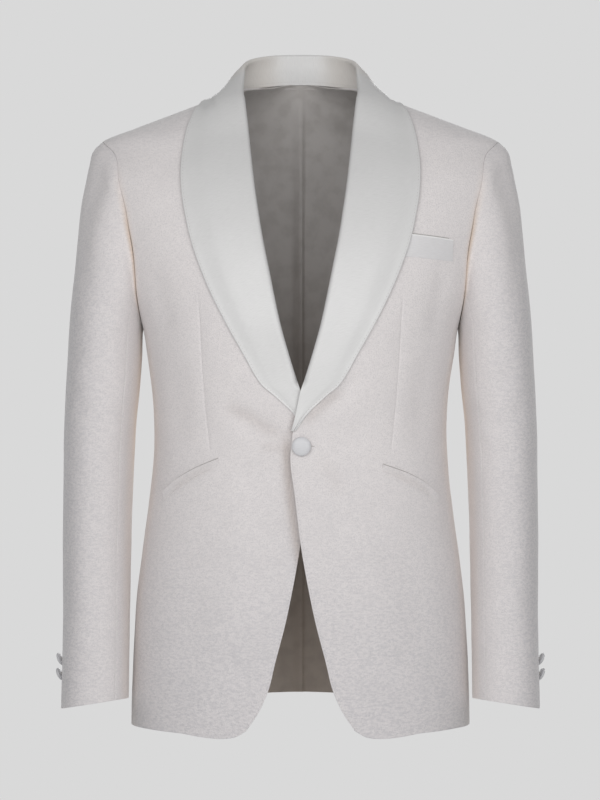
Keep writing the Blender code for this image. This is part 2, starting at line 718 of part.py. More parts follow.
def collar_point(way, column):
    """A point of the collar: columns run from the neck seam, over the fold and across the leaf."""
    section = collar_section(way)
    fold_from, leaf_from = TURN_IN_COLUMNS, TURN_IN_COLUMNS + FOLD_COLUMNS
    if column >= leaf_from:
        return leaf_point(section, (column - leaf_from) / LEAF_COLUMNS)
    turned = 1 - max(column - fold_from, 0) / FOLD_COLUMNS
    forward, down = swept(section.fold, section.wrap, turned)
    point = section.start + section.up * forward - section.out * down
    if column >= fold_from:
        return point
    q = 1 - column / TURN_IN_COLUMNS
    tangent = section.up * math.cos(section.wrap) - section.out * math.sin(section.wrap)
    control = point + tangent * np.linalg.norm(section.seam - point) * 0.45
    return point * (1 - q) ** 2 + control * 2 * q * (1 - q) + section.seam * q * q


def leaf_point(section, q):
    """The leaf falls from the fold to its outer edge, and never sinks into the body's surface."""
    start, edge = section.start, section.edge
    length = np.linalg.norm(edge - start)
    normal = outward(edge)
    back = start - edge
    second = edge + unit(back - normal * back.dot(normal)) * length * 0.3
    first = start - section.up * length * 0.3
    point = start * (1 - q) ** 3 + first * 3 * q * (1 - q) ** 2
    point = point + second * 3 * q * q * (1 - q) + edge * q**3
    least = section.rise + (section.edge_lift - section.rise) * q
    lift = height(point)
    soft = min(0.0015, 0.02 * length) * 4 * q * (1 - q)
    wanted = least + 0.5 * (lift - least + math.sqrt((lift - least) ** 2 + soft**2))
    return point + outward(point) * (wanted - lift)


def collar_grids():
    """Points and outward directions of the left half of the collar."""
    ways = np.linspace(0, LAST_ROW, COLLAR_ROWS)
    columns = range(TURN_IN_COLUMNS + FOLD_COLUMNS + LEAF_COLUMNS + 1)
    points = np.array([[collar_point(way, column) for column in columns] for way in ways])
    normals = np.zeros_like(points)
    for i, way in enumerate(ways):
        for j, column in enumerate(columns):
            before, after = max(way - 0.1, 0), min(way + 0.1, LAST_ROW)
            left, right = max(column - 0.1, 0), min(column + 0.1, columns[-1])
            along = collar_point(after, column) - collar_point(before, column)
            across = collar_point(way, right) - collar_point(way, left)
            normals[i, j] = unit(np.cross(along, across))
    normals[0, :, 0] = 0
    points[0, :, 0] = 0
    near_seam = np.arange(COLLAR_ROWS)[:, None] < ROWS_NEAR_BACK_SEAM
    clear = np.maximum(points[..., 0], HALF_GAP)
    points[..., 0] = np.where(near_seam, clear, points[..., 0])
    return points, normals


# Building the pieces


def finish(spec):
    """The material of this name, colour and roughness, made once."""
    name, colour, roughness = spec
    material = bpy.data.materials.get(name)
    if material is None:
        material = bpy.data.materials.new(name)
        material.use_nodes = True
        shader = material.node_tree.nodes["Principled BSDF"]
        shader.inputs["Base Color"].default_value = (*colour, 1)
        shader.inputs["Roughness"].default_value = roughness
        shader.inputs["Metallic"].default_value = 0
        material.diffuse_color = (*colour, 1)
    return material


def lapped(points):
    """The same points, sunk where the right front passes behind the left."""
    moved = points.copy()
    for place in np.ndindex(points.shape[:2]):
        x, _, z = points[place]
        down = ease(LAP_DROPS[0], LAP_DROPS[1], -z) * (1 - ease(LAP_DROPS[2], LAP_DROPS[3], -z))
        moved[place][1] += LAP_DEPTH * down * (1 - ease(LAP_ACROSS[0], LAP_ACROSS[1], x))
    return moved


def wall(name, points, normals, thickness, spec, parent, right=False):
    """A closed wall of cloth whose outer face runs through the grid's points."""
    flip = np.array([-1.0 if right else 1.0, 1, 1])
    cloth = bmesh.new()
    faces = []
    for depth in (0.0, thickness):
        grid = (points - normals * depth) * flip
        faces.append([[cloth.verts.new(Vector(point)) for point in row] for row in grid])
    outer, inner = faces
    rows, columns = points.shape[:2]
    for i in range(rows - 1):
        for j in range(columns - 1):
            # Every wall is cut along the same diagonals, so that walls on each other keep their gap.
            near, far = (i, j), (i + 1, j + 1)
            for corners in ((near, (i, j + 1), far), (near, far, (i + 1, j))):
                cloth.faces.new([outer[a][b] for a, b in corners])
                cloth.faces.new([inner[a][b] for a, b in reversed(corners)])
    rim = [(0, j) for j in range(columns)] + [(i, columns - 1) for i in range(1, rows)]
    rim += [(rows - 1, j) for j in range(columns - 2, -1, -1)] + [(i, 0) for i in range(rows - 2, 0, -1)]
    for (a, b), (c, d) in zip(rim, rim[1:] + rim[:1]):
        cloth.faces.new([outer[c][d], outer[a][b], inner[a][b], inner[c][d]])
    bmesh.ops.recalc_face_normals(cloth, faces=cloth.faces)
    mesh = bpy.data.meshes.new(name)
    cloth.to_mesh(mesh)
    cloth.free()
    mesh.shade_smooth()
    mesh.set_sharp_from_angle(angle=math.radians(40))
    mesh.materials.append(finish(spec))
    piece = bpy.data.objects.new(name, mesh)
    bpy.context.scene.collection.objects.link(piece)
    piece.parent = parent
    return piece


def welt(name, rows, parent, right=False):
    """A strip on the front, moved out from it and following its rows."""
    lift = REST_GAP + WELT
    points = []
    for share in (0.0, 0.5, 1.0):  # of the way down the strip
        points.append([on_front(row.across, row.drop + row.height * share, lift) for row in rows])
    points = np.array(points)
    cloth = IVORY_SATIN if "breast" in name else IVORY_CLOTH
    return wall(name, points, normals_of(points), WELT, cloth, parent, right)


def button(name, radius, shank, place, direction, parent):
    """A covered button on its shank, turned about its own axis."""
    under = -BUTTON_DEPTH
    profile = (
        (0.0000, 0.0022),
        (0.5500, 0.0018),
        (0.8800, 0.0006),
        (1.0000, -0.0006),
        (0.8800, -0.0018),
        (0.2200, under),
        (0.2200, under - shank),
        (0.0000, under - shank),
    )
    mesh = bpy.data.meshes.new(name)
    outline = [(radius * share, 0.0, rise) for share, rise in profile]
    mesh.from_pydata(outline, [(i, i + 1) for i in range(len(outline) - 1)], [])
    mesh.materials.append(finish(IVORY_SATIN))
    piece = bpy.data.objects.new(name, mesh)
    bpy.context.scene.collection.objects.link(piece)
    turn = piece.modifiers.new("turn", "SCREW")
    turn.axis = "Z"
    turn.steps = turn.render_steps = BUTTON_STEPS
    turn.use_merge_vertices = True
    turn.merge_threshold = 0.00001
    turn.use_smooth_shade = True
    piece.location = Vector(place)
    piece.rotation_mode = "QUATERNION"
    piece.rotation_quaternion = Vector(direction).to_track_quat("Z", "Y")
    piece.parent = parent
    return piece


def build_body(parent, right):
    side = "right" if right else "left"
    front = front_grid()
    front_points = lapped(front) if right else front
    wall(f"front_{side}", front_points, normals_of(front), CLOTH, IVORY_CLOTH, parent, right)
    panel = side_grid()
    wall(f"side_{side}", panel, normals_of(panel), CLOTH, IVORY_CLOTH, parent, right)
    back = back_grid()
    directions = normals_of(back)
    wall(f"back_{side}", back, directions, CLOTH, IVORY_CLOTH, parent, right)
    within = back - directions * (CLOTH + SEAM_GAP)
    within[..., 0] = np.maximum(within[..., 0], HALF_GAP)
    kept = slice(0, LINING_COLUMNS)
    wall(f"lining_{side}", within[:, kept], directions[:, kept], LINING, TAUPE_LINING, parent, right)


def build_sleeve(parent, right):
    side = "right" if right else "left"
    under = sleeve_part(ARMHOLE_ROWS, BACK_ARM_SEAM)
    wall(f"sleeve_under_{side}", *under, CLOTH, IVORY_CLOTH, parent, right)
    top = sleeve_part(BACK_ARM_SEAM, ARMHOLE_ROWS + SLEEVE_COLUMNS)
    wall(f"sleeve_top_{side}", *top, CLOTH, IVORY_CLOTH, parent, right)


def build_collar(parent, right):
    points, normals = collar_grids()
    points = lapped(points) if right else points
    wall(f"shawl_{'right' if right else 'left'}", points, normals, CLOTH, IVORY_SATIN, parent, right)


def build_cuff_buttons(parent, right):
    side, turn = ("right", -1) if right else ("left", 1)
    column = BACK_ARM_SEAM + (SLEEVE_COLUMNS - BACK_ARM_SEAM) * CUFF_BUTTON_COLUMN
    for number, drop in enumerate(CUFF_BUTTON_DROPS, 1):
        normal = sleeve_normal(column, drop)
        place = sleeve_point(column, drop) + normal * CUFF_BUTTON_LIFT
        flat = unit(normal - np.array([0, 0, normal[2]]))
        axis = flat * math.cos(CUFF_BUTTON_TILT) - np.array([0, 0, math.sin(CUFF_BUTTON_TILT)])
        mirror = np.array([turn, 1, 1])
        name = f"button_cuff_{side}_{number}"
        button(name, CUFF_BUTTON_RADIUS, CUFF_BUTTON_SHANK, place * mirror, axis * mirror, parent)


def build():
    for old in list(bpy.data.objects):
        bpy.data.objects.remove(old)
    jacket = bpy.data.objects.new("jacket", None)
    bpy.context.scene.collection.objects.link(jacket)
    for right in (False, True):
        build_body(jacket, right)
        build_sleeve(jacket, right)
        build_collar(jacket, right)
        build_cuff_buttons(jacket, right)
        rows = HIP_WELT_RIGHT if right else HIP_WELT_LEFT
        welt(f"welt_hip_{'right' if right else 'left'}", rows, jacket, right)
    welt("welt_breast", BREAST_WELT, jacket)
    place = on_front(FRONT_BUTTON_ACROSS, FRONT_BUTTON_DROP)
    normal = outward(place)
    place = place + normal * (REST_GAP + FRONT_BUTTON_SHANK + BUTTON_DEPTH)
    button("button_front", FRONT_BUTTON_RADIUS, FRONT_BUTTON_SHANK, place, normal, jacket)


build()
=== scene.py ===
"""Dresses the shawl-collar dinner jacket: cloth, satin, lining, sewing, light and camera.

Metres, +Z up, the jacket faces -Y and the wearer's left is +X. Every cut piece is a thin shell on
the form of its solid, worked out from the same tables on a finer grid, with soft creases laid over
the whole jacket as one field, so that pieces that lie on each other move together.
"""

import logging
import math
from dataclasses import dataclass, field
from enum import Enum
from typing import Any, Callable, Iterable, Sequence

import bmesh
import bpy
import numpy as np
from numpy.typing import NDArray
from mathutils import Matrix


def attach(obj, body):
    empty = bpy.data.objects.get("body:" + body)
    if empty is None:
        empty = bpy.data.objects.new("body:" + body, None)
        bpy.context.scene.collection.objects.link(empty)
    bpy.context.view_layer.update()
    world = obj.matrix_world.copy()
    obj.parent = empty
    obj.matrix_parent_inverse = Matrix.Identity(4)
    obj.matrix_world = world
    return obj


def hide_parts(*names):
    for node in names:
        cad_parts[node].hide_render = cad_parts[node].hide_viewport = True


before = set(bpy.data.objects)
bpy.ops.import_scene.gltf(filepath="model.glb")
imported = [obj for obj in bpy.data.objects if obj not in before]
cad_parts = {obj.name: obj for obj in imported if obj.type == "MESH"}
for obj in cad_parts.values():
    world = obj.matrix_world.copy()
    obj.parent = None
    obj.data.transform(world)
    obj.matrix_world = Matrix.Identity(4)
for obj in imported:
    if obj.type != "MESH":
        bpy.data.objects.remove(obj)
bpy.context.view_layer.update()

LOG = logging.getLogger("dinner_jacket")
Array = NDArray[np.float64]
Many = tuple[float, ...]
Rows = tuple[Many, ...]
Pair = tuple[float, float]
Four = tuple[float, float, float, float]
Tone = tuple[float, float, float]
Colour = tuple[float, float, float, float]

CLOTH = 0.0020  # the three thicknesses
LINING = 0.0010
WELT = 0.0012
HALF_GAP = 0.00006  # half of what two pieces lie apart at a seam
REST_GAP = 0.0006  # how far what lies on a panel stands off it
EDGE_ROUND = 0.0003  # how far a cut edge's rounding reaches into the cloth
PICK_INSET = 0.0028  # how far in from the edge the pick stitching runs
BAND_INSET = 0.0042  # how far above the neck seam the band's stitching runs
NEAR_EDGE = (0.0009, 0.0022, 0.0045)  # how far in from an edge the cloth's first grid lines run
SEAM_LINES = 25  # lines of a panel's edge for each of its seam's rows
TINY = 1e-9
MIRROR = np.array([-1.0, 1.0, 1.0])  # takes the left side's points to the right
BACKWARDS = np.array([0.0, 1.0, 0.0])


class Slot(Enum):
    """The record's material slots."""

    CLOTH = "ivory_cloth"
    SATIN = "ivory_satin"
    LINING = "taupe_lining"


class Side(Enum):
    """The wearer's two sides, as the sign of X."""

    LEFT = 1
    RIGHT = -1

    @property
    def word(self) -> str:
        """The side's name in the pieces' names."""
        return self.name.lower()


class Face(Enum):
    """Which face of the body a point lies on, as the sign of Y."""

    FRONT = -1
    BACK = 1


# Curves and vectors


def unit(vectors: Array) -> Array:
    """Vectors of the same directions, along the last axis, and of length 1."""
    return vectors / np.maximum(np.linalg.norm(vectors, axis=-1, keepdims=True), TINY)


def ease(start: float, end: float, value: Any) -> Any:
    """A number's or an array's smooth rise from 0 at one value to 1 at another."""
    share = np.clip((np.asarray(value, float) - start) / (end - start), 0.0, 1.0)
    return share * share * (3 - 2 * share)


def hump(ends: Four, value: Any) -> Any:
    """A smooth rise from 0 to 1 over the first two values, and a fall to 0 over the last two."""
    return ease(ends[0], ends[1], value) * (1 - ease(ends[2], ends[3], value))


def dot(first: Array, second: Array) -> Array:
    """The dot products along the last axis, which is kept at length 1."""
    return np.sum(first * second, axis=-1, keepdims=True)


def lengths_along(points: Array) -> Array:
    """The distance of each point, one a row, from the first, along the line through them."""
    return np.concatenate([[0.0], np.cumsum(np.linalg.norm(np.diff(points, axis=0), axis=-1))])


@dataclass
class Track:
    """A smooth curve through the rows of a table, read at any value of its first column."""

    rows: Any
    keys: Array = field(init=False)
    values: Array = field(init=False)
    slopes: Array = field(init=False)

    def __post_init__(self) -> None:
        """Works out the curve's slope at each row."""
        table = np.array(self.rows, float)
        self.keys, self.values = table[:, 0], table[:, 1:]
        steps = np.diff(self.keys)[:, None]
        rises = np.diff(self.values, axis=0) / steps
        inner = (rises[:-1] * steps[1:] + rises[1:] * steps[:-1]) / (steps[:-1] + steps[1:])
        self.slopes = np.concatenate([rises[:1], inner, rises[-1:]])

    def at(self, key: Any) -> Array:
        """The curve's values.

        Args:
            key: One value of the first column, or an array of them.

        Returns:
            The other columns there, along a new last axis.
        """
        key = np.clip(np.asarray(key, float), self.keys[0], self.keys[-1])
        row = np.clip(np.searchsorted(self.keys, key, side="right") - 1, 0, len(self.keys) - 2)
        step = (self.keys[row + 1] - self.keys[row])[..., None]
        f = (key - self.keys[row])[..., None] / step
        ends = self.values[row] * (1 + 2 * f) * (1 - f) ** 2
        ends = ends + self.values[row + 1] * f * f * (3 - 2 * f)
        bends = self.slopes[row] * f * (1 - f) ** 2 - self.slopes[row + 1] * f * f * (1 - f)
        return ends + bends * step


def through(points: Any, shares: Array) -> Array:
    """Points along the smooth curve through others, at these shares of its length."""
    points = np.array(points, float)
    ways = lengths_along(points)
    fine = Track(np.column_stack([ways, points])).at(np.linspace(0, ways[-1], 900))
    lengths = lengths_along(fine)
    wanted = np.asarray(shares) * lengths[-1]
    return np.column_stack([np.interp(wanted, lengths, fine[:, axis]) for axis in range(3)])


def spaced_like(line: Any, other: Array) -> Array:
    """Points along the smooth curve through a line's, spaced by length as another line's are."""
    lengths = lengths_along(other)
    return through(line, lengths / lengths[-1])


def bunched(length: float, spacing: float, near_ends: Sequence[float] = NEAR_EDGE) -> Array:
    """Shares from 0 to 1 that lie close together near the ends.

    Args:
        length: The whole length.
        spacing: The distance between the lines further in.
        near_ends: Distances from each end at which a line is wanted.

    Returns:
        Rising shares of the length, 0 and 1 among them.
    """
    near = np.array(near_ends) / length
    start = near[-1]
    count = max(int(round((1 - 2 * start) * length / spacing)), 2)
    inside = np.linspace(start, 1 - start, count + 1)
    return np.unique(np.round(np.concatenate([[0.0], near, inside, 1 - near, [1.0]]), 7))


# The body's own form


@dataclass
class BodyForm:
    """The surface that the jacket's outer cloth lies on: a rounded outline at each level.

    The table's columns are drop, half width, front, back, middle line and squareness.
    """

    rows: Rows = (
        (-0.0200, 0.0300, 0.044, 0.071, 0.004, 2.10),
        (-0.0125, 0.0450, 0.045, 0.075, 0.004, 2.10),
        (0.0000, 0.0780, 0.048, 0.082, 0.004, 2.10),
        (0.0140, 0.1150, 0.057, 0.090, 0.004, 2.10),
        (0.0280, 0.1520, 0.065, 0.097, 0.004, 2.10),
        (0.0420, 0.1890, 0.071, 0.102, 0.004, 2.12),
        (0.0560, 0.2245, 0.077, 0.106, 0.004, 2.15),
        (0.0730, 0.2330, 0.088, 0.111, 0.004, 2.18),
        (0.1000, 0.2425, 0.103, 0.118, 0.003, 2.25),
        (0.1450, 0.2300, 0.120, 0.126, 0.002, 2.35),
        (0.1900, 0.2095, 0.130, 0.129, 0.001, 2.40),
        (0.2280, 0.1953, 0.133, 0.128, 0.000, 2.40),
        (0.2680, 0.1795, 0.134, 0.124, 0.000, 2.40),
        (0.3000, 0.1744, 0.131, 0.118, 0.000, 2.35),
        (0.3400, 0.1687, 0.126, 0.1075, 0.000, 2.30),
        (0.3850, 0.1662, 0.1195, 0.0985, 0.000, 2.25),
        (0.4300, 0.1682, 0.1185, 0.0990, 0.000, 2.25),
        (0.4700, 0.1727, 0.1210, 0.1060, 0.000, 2.25),
        (0.5200, 0.1794, 0.1265, 0.1160, 0.000, 2.28),
        (0.5800, 0.1865, 0.1305, 0.1235, 0.000, 2.30),
        (0.6400, 0.1900, 0.1320, 0.1270, 0.000, 2.33),
        (0.7000, 0.1918, 0.1330, 0.1280, 0.000, 2.35),
        (0.7400, 0.1930, 0.1330, 0.1280, 0.000, 2.35),
    )
    track: Track = field(init=False)

    def __post_init__(self) -> None:
        """Makes the table a smooth curve."""
        self.track = Track(self.rows)

    def _outline(self, drop: Any) -> tuple[Array, ...]:
        """The table's five sizes at these drops."""
        return tuple(np.moveaxis(self.track.at(drop), -1, 0))

    def level(self, points: Array) -> Array:
        """Below 0 inside the surface, 0 on it and above 0 outside."""
        x, y, z = np.moveaxis(points, -1, 0)
        half_width, front, back, middle, square = self._outline(-z)
        depth = np.where(y > middle, back, front)
        across, along = np.abs(x) / half_width, np.abs(y - middle) / depth
        return (across**square + along**square) ** (1 / square) - 1

    def slope(self, points: Array) -> Array:
        """The way out of the surface, as steep as level rises."""
        step = 1e-4
        axes = [self.level(points + d) - self.level(points - d) for d in np.eye(3) * step]
        return np.stack(axes, axis=-1) / (2 * step)

    def outward(self, points: Array) -> Array:
        """Unit vectors out of the surface."""
        return unit(self.slope(points))

    def height(self, points: Array) -> Array:
        """Distance of points from the surface, with a last axis of length 1."""
        steepness = np.linalg.norm(self.slope(points), axis=-1)
        return (self.level(points) / steepness)[..., None]

    def on_skin(self, points: Array) -> Array:
        """The points of the surface nearest to these."""
        for _ in range(6):
            slope = self.slope(points)
            points = points - slope * (self.level(points)[..., None] / dot(slope, slope))
        return points

    def on_front(self, across: Any, drop: Any, lift: float = 0.0, face: Face = Face.FRONT) -> Array:
        """Points of the front or the back.

        Args:
            across: How far to the left of the centre.
            drop: How far below the origin.
            lift: How far off the surface.
            face: Front or back.

        Returns:
            The points, along a new last axis.
        """
        across, drop = np.broadcast_arrays(np.asarray(across, float), np.asarray(drop, float))
        half_width, front, back, middle, square = self._outline(drop)
        depth = back if face is Face.BACK else front
        inside = np.clip(1 - (np.abs(across) / half_width) ** square, 0.0, 1.0)
        y = middle + face.value * depth * inside ** (1 / square)
        points = np.stack([np.minimum(across, half_width), y, -drop], axis=-1)
        return points + self.outward(points) * lift if lift else points

    def on_side(self, y: Any, drop: Any) -> Array:
        """Points of the left side at these depths and drops."""
        y, drop = np.broadcast_arrays(np.asarray(y, float), np.asarray(drop, float))
        half_width, front, back, middle, square = self._outline(drop)
        depth = np.where(y > middle, back, front)
        inside = np.clip(1 - (np.abs(y - middle) / depth) ** square, 0.0, 1.0)
        return np.stack([half_width * inside ** (1 / square), y, -drop], axis=-1)

    def across_seam(self, points: Array, towards: Array) -> Array:
        """Unit vectors in the cloth's surface, square to a seam."""
        across = unit(np.cross(self.outward(points), np.gradient(points, axis=0)))
        return across * np.where(dot(across, towards) > 0, 1.0, -1.0)


BODY = BodyForm()


# Creases and the cloth's shells


@dataclass(frozen=True)
class Crease:
    """A soft trough in the cloth, or a ridge where its depth is below 0.

    The path's points are across and drop on the body, or degrees round the sleeve and drop.
    """

    path: Rows
    depth: float
    width: float
    face: Face = Face.FRONT
    fade: float = 0.3  # share of its length over which each end fades out


class CreaseField:
    """All the creases of one garment part, as one depth below the plain form at any place."""

    def __init__(self, creases: Iterable[Crease], place: Callable[[Crease, Array], Array]) -> None:
        """Lays each crease's path on its surface."""
        self.lines: list[tuple[Array, Crease]] = []
        for crease in creases:
            numbers = np.array([(*point, 0.0) for point in crease.path], float)
            smooth = through(numbers, np.linspace(0, 1, 4 * len(numbers)))
            self.lines.append((place(crease, smooth[:, :2]), crease))

    def depth_at(self, points: Array) -> Array:
        """How far the creases sink these points.

        Args:
            points: Points of the plain form.

        Returns:
            Depths with a last axis of length 1.
        """
        flat = points.reshape(-1, 3)
        total = self.unevenness(flat)
        for line, crease in self.lines:
            width, faded = crease.width, crease.fade
            low, high = line.min(axis=0) - 3 * width, line.max(axis=0) + 3 * width
            near = np.flatnonzero(np.all((flat > low) & (flat < high), axis=1))
            if not len(near):
                continue
            places = lengths_along(line)
            starts, steps = line[:-1], np.diff(line, axis=0)
            away = flat[near][:, None] - starts
            share = np.clip(np.sum(away * steps, -1) / np.sum(steps * steps, -1), 0, 1)
            gaps = np.linalg.norm(away - share[..., None] * steps, axis=-1)
            nearest = gaps.argmin(axis=1)
            pick = np.arange(len(near))
            along = (places[nearest] + share[pick, nearest] * np.diff(places)[nearest]) / places[-1]
            fade = hump((0, faded, 1 - faded, 1), along)
            total[near] += crease.depth * fade * np.exp(-((gaps[pick, nearest] / width) ** 2))
        return total.reshape(points.shape[:-1])[..., None]

    @staticmethod
    def unevenness(points: Array) -> Array:
        """The cloth's own faint waviness, a fraction of a millimetre over a hand's width."""
        x, y, z = points.T
        waves = np.sin(47 * x + 23 * z + 1.3) * np.sin(31 * z - 19 * y + 0.4)
        waves += 0.6 * np.sin(83 * x - 41 * z + 2.1) * np.sin(67 * z + 37 * y + 1.7)
        return 0.00028 * waves


def both_sides(creases: Iterable[Crease]) -> list[Crease]:
    """These creases and their likenesses on the other side, a little lower, shallower and wider."""
    lower, shallower, wider = 0.006, 0.85, 1.08
    made = []
    for crease in creases:
        made.append(crease)
        path = tuple((-across, drop + lower) for across, drop in crease.path)
        made.append(
            Crease(path, crease.depth * shallower, crease.width * wider, crease.face, crease.fade)
        )
    return made


DART: Rows = (  # drop and across, from its point on the chest to the hip pocket
    (0.2340, 0.1128),
    (0.3060, 0.1094),
    (0.3565, 0.1060),
    (0.4130, 0.0995),
)


def dart_creases() -> list[Crease]:
    """The fine groove of each front's dart, and the soft hollow that it draws in."""
    made = []
    for side in Side:
        path = tuple((side.value * across, drop) for drop, across in DART)
        made.append(Crease(path, 0.0006, 0.0009, fade=0.08))
        made.append(Crease(path, 0.0009, 0.0075, fade=0.25))
    return made


BODY_CREASES = [
    # Drag lines that run from the fastened button.
    Crease(((-0.004, 0.3985), (-0.0205, 0.393), (-0.0536, 0.374), (-0.092, 0.357)), 0.0044, 0.011),
    Crease(((0.018, 0.368), (0.033, 0.356), (0.047, 0.343), (0.064, 0.32)), 0.0034, 0.009),
    Crease(((0.026, 0.402), (0.052, 0.399), (0.076, 0.39)), 0.0014, 0.012),
    Crease(((-0.024, 0.418), (-0.043, 0.433), (-0.06, 0.456)), 0.0018, 0.0125),
    Crease(((0.014, 0.425), (0.022, 0.46), (0.033, 0.5)), 0.0014, 0.012),
    # The right front sinks beside the edge of the left one.
    Crease(((-0.015, 0.415), (-0.013, 0.46), (-0.006, 0.51), (0.0, 0.545)), 0.003, 0.007),
]
BODY_CREASES += both_sides(
    [
        # On the shoulder, where the collar's leaf presses the cloth down.
        Crease(((0.094, 0.0066), (0.106, 0.011), (0.117, 0.015)), 0.0028, 0.014),
        # Beside the armhole, at the side of the waist, and down the skirt.
        Crease(((0.162, 0.19), (0.154, 0.235), (0.144, 0.29)), 0.002, 0.013),
        Crease(((0.136, 0.29), (0.134, 0.35), (0.129, 0.415)), 0.0016, 0.017),
        Crease(((0.07, 0.47), (0.076, 0.56), (0.083, 0.66)), -0.0012, 0.026),
        Crease(((0.118, 0.48), (0.124, 0.57), (0.131, 0.69)), 0.0013, 0.023),
        Crease(((0.033, 0.52), (0.048, 0.6), (0.064, 0.69)), 0.0008, 0.02),
        # The back: blades, waist and seat.
        Crease(((0.175, 0.17), (0.162, 0.23), (0.14, 0.3)), 0.0038, 0.015, Face.BACK),
        Crease(((0.135, 0.15), (0.133, 0.2), (0.125, 0.265)), -0.0018, 0.018, Face.BACK),
        Crease(((0.012, 0.408), (0.048, 0.4), (0.094, 0.406)), 0.0036, 0.011, Face.BACK),
        Crease(((0.05, 0.378), (0.086, 0.37), (0.123, 0.38)), 0.0027, 0.01, Face.BACK),
        Crease(((0.042, 0.436), (0.08, 0.444), (0.118, 0.466)), 0.0025, 0.012, Face.BACK),
        Crease(((0.064, 0.49), (0.069, 0.58), (0.073, 0.69)), 0.002, 0.023, Face.BACK),
        Crease(((0.113, 0.5), (0.121, 0.59), (0.129, 0.69)), -0.0019, 0.024, Face.BACK),
        Crease(((0.016, 0.016), (0.048, 0.022), (0.083, 0.033)), 0.0016, 0.01, Face.BACK),
    ]
)
BODY_CREASES += dart_creases()

# Painted light on the cloth, laid out like creases: their depths are shares of a colour that darkens or
# warms it, as painted shade or painted warm glow.
PAINTED_SHADE_MARKS = [
    # Painted shade along the drag creases that run from the button.
    Crease(((-0.012, 0.396), (-0.033, 0.385), (-0.06, 0.369), (-0.09, 0.356)), 0.34, 0.0062),
    Crease(((-0.015, 0.406), (-0.03, 0.403), (-0.048, 0.403)), 0.25, 0.005),
    Crease(((-0.002, 0.383), (0.013, 0.367), (0.031, 0.351), (0.052, 0.337)), 0.42, 0.006),
    Crease(((0.018, 0.412), (0.033, 0.43), (0.045, 0.462)), 0.12, 0.009),
    # Painted shadow under the pockets' mouths.
    Crease(((0.088, 0.427), (0.112, 0.436), (0.134, 0.448), (0.15, 0.464)), 0.24, 0.0052),
    Crease(((-0.088, 0.4205), (-0.112, 0.431), (-0.134, 0.4445), (-0.15, 0.46)), 0.24, 0.0052),
    # Painted shade in front of each side seam, low on the skirt.
    Crease(((-0.1815, 0.53), (-0.1835, 0.6), (-0.1868, 0.672), (-0.188, 0.73)), 0.6, 0.0022),
    Crease(((0.1815, 0.55), (0.184, 0.61), (0.187, 0.672), (0.188, 0.73)), 0.35, 0.0022),
]
PAINTED_LAP_SHADOW = [
    # Painted shadow that the left front's edge casts on the right front, below and above the button.
    Crease(
        ((-0.015, 0.38), (-0.015, 0.415), (-0.0108, 0.46), (-0.0045, 0.505), (0.004, 0.555)),
        0.95,
        0.0052,
        fade=0.16,
    ),
    Crease(((0.002, 0.35), (-0.005, 0.374), (-0.011, 0.395)), 0.6, 0.0048),
]
# Painted light round the armhole, by degrees from the shoulder: a painted warm glow beside the seam, and a
# painted shade line in it.
ARMHOLE_GLOW = [Crease(((35, 0), (75, 0), (110, 0), (170, 0)), 0.8, 0.0050)]
PAINTED_ARMHOLE_SHADE = [Crease(((62, 0), (90, 0), (120, 0), (175, 0)), 0.9, 0.0013)]

# Degrees go from the sleeve's outermost line round its front, inside and back.
SLEEVE_CREASES = [
    Crease(((62, 0.3), (95, 0.33), (132, 0.352)), 0.0022, 0.011),
    Crease(((48, 0.352), (88, 0.372), (126, 0.386)), 0.002, 0.0105),
    Crease(((70, 0.398), (104, 0.412), (140, 0.42)), 0.0016, 0.011),
    Crease(((36, 0.15), (58, 0.2), (78, 0.25)), 0.0013, 0.015),
    Crease(((318, 0.14), (302, 0.19), (286, 0.25)), 0.0016, 0.015),
    Crease(((238, 0.33), (262, 0.356), (292, 0.372)), 0.002, 0.012),
    Crease(((246, 0.392), (272, 0.402), (304, 0.4)), 0.0017, 0.0115),
    Crease(((28, 0.47), (40, 0.54), (46, 0.62)), 0.0009, 0.02),
    Crease(((312, 0.45), (318, 0.52), (322, 0.59)), 0.0011, 0.02),
    Crease(((70, 0.48), (78, 0.56), (84, 0.65)), -0.0009, 0.02),
]


@dataclass(frozen=True)
class Cut:
    """A piece's flat size before it was sewn, and its area where it isn't a rectangle."""

    width: float
    length: float
    area: float | None = None


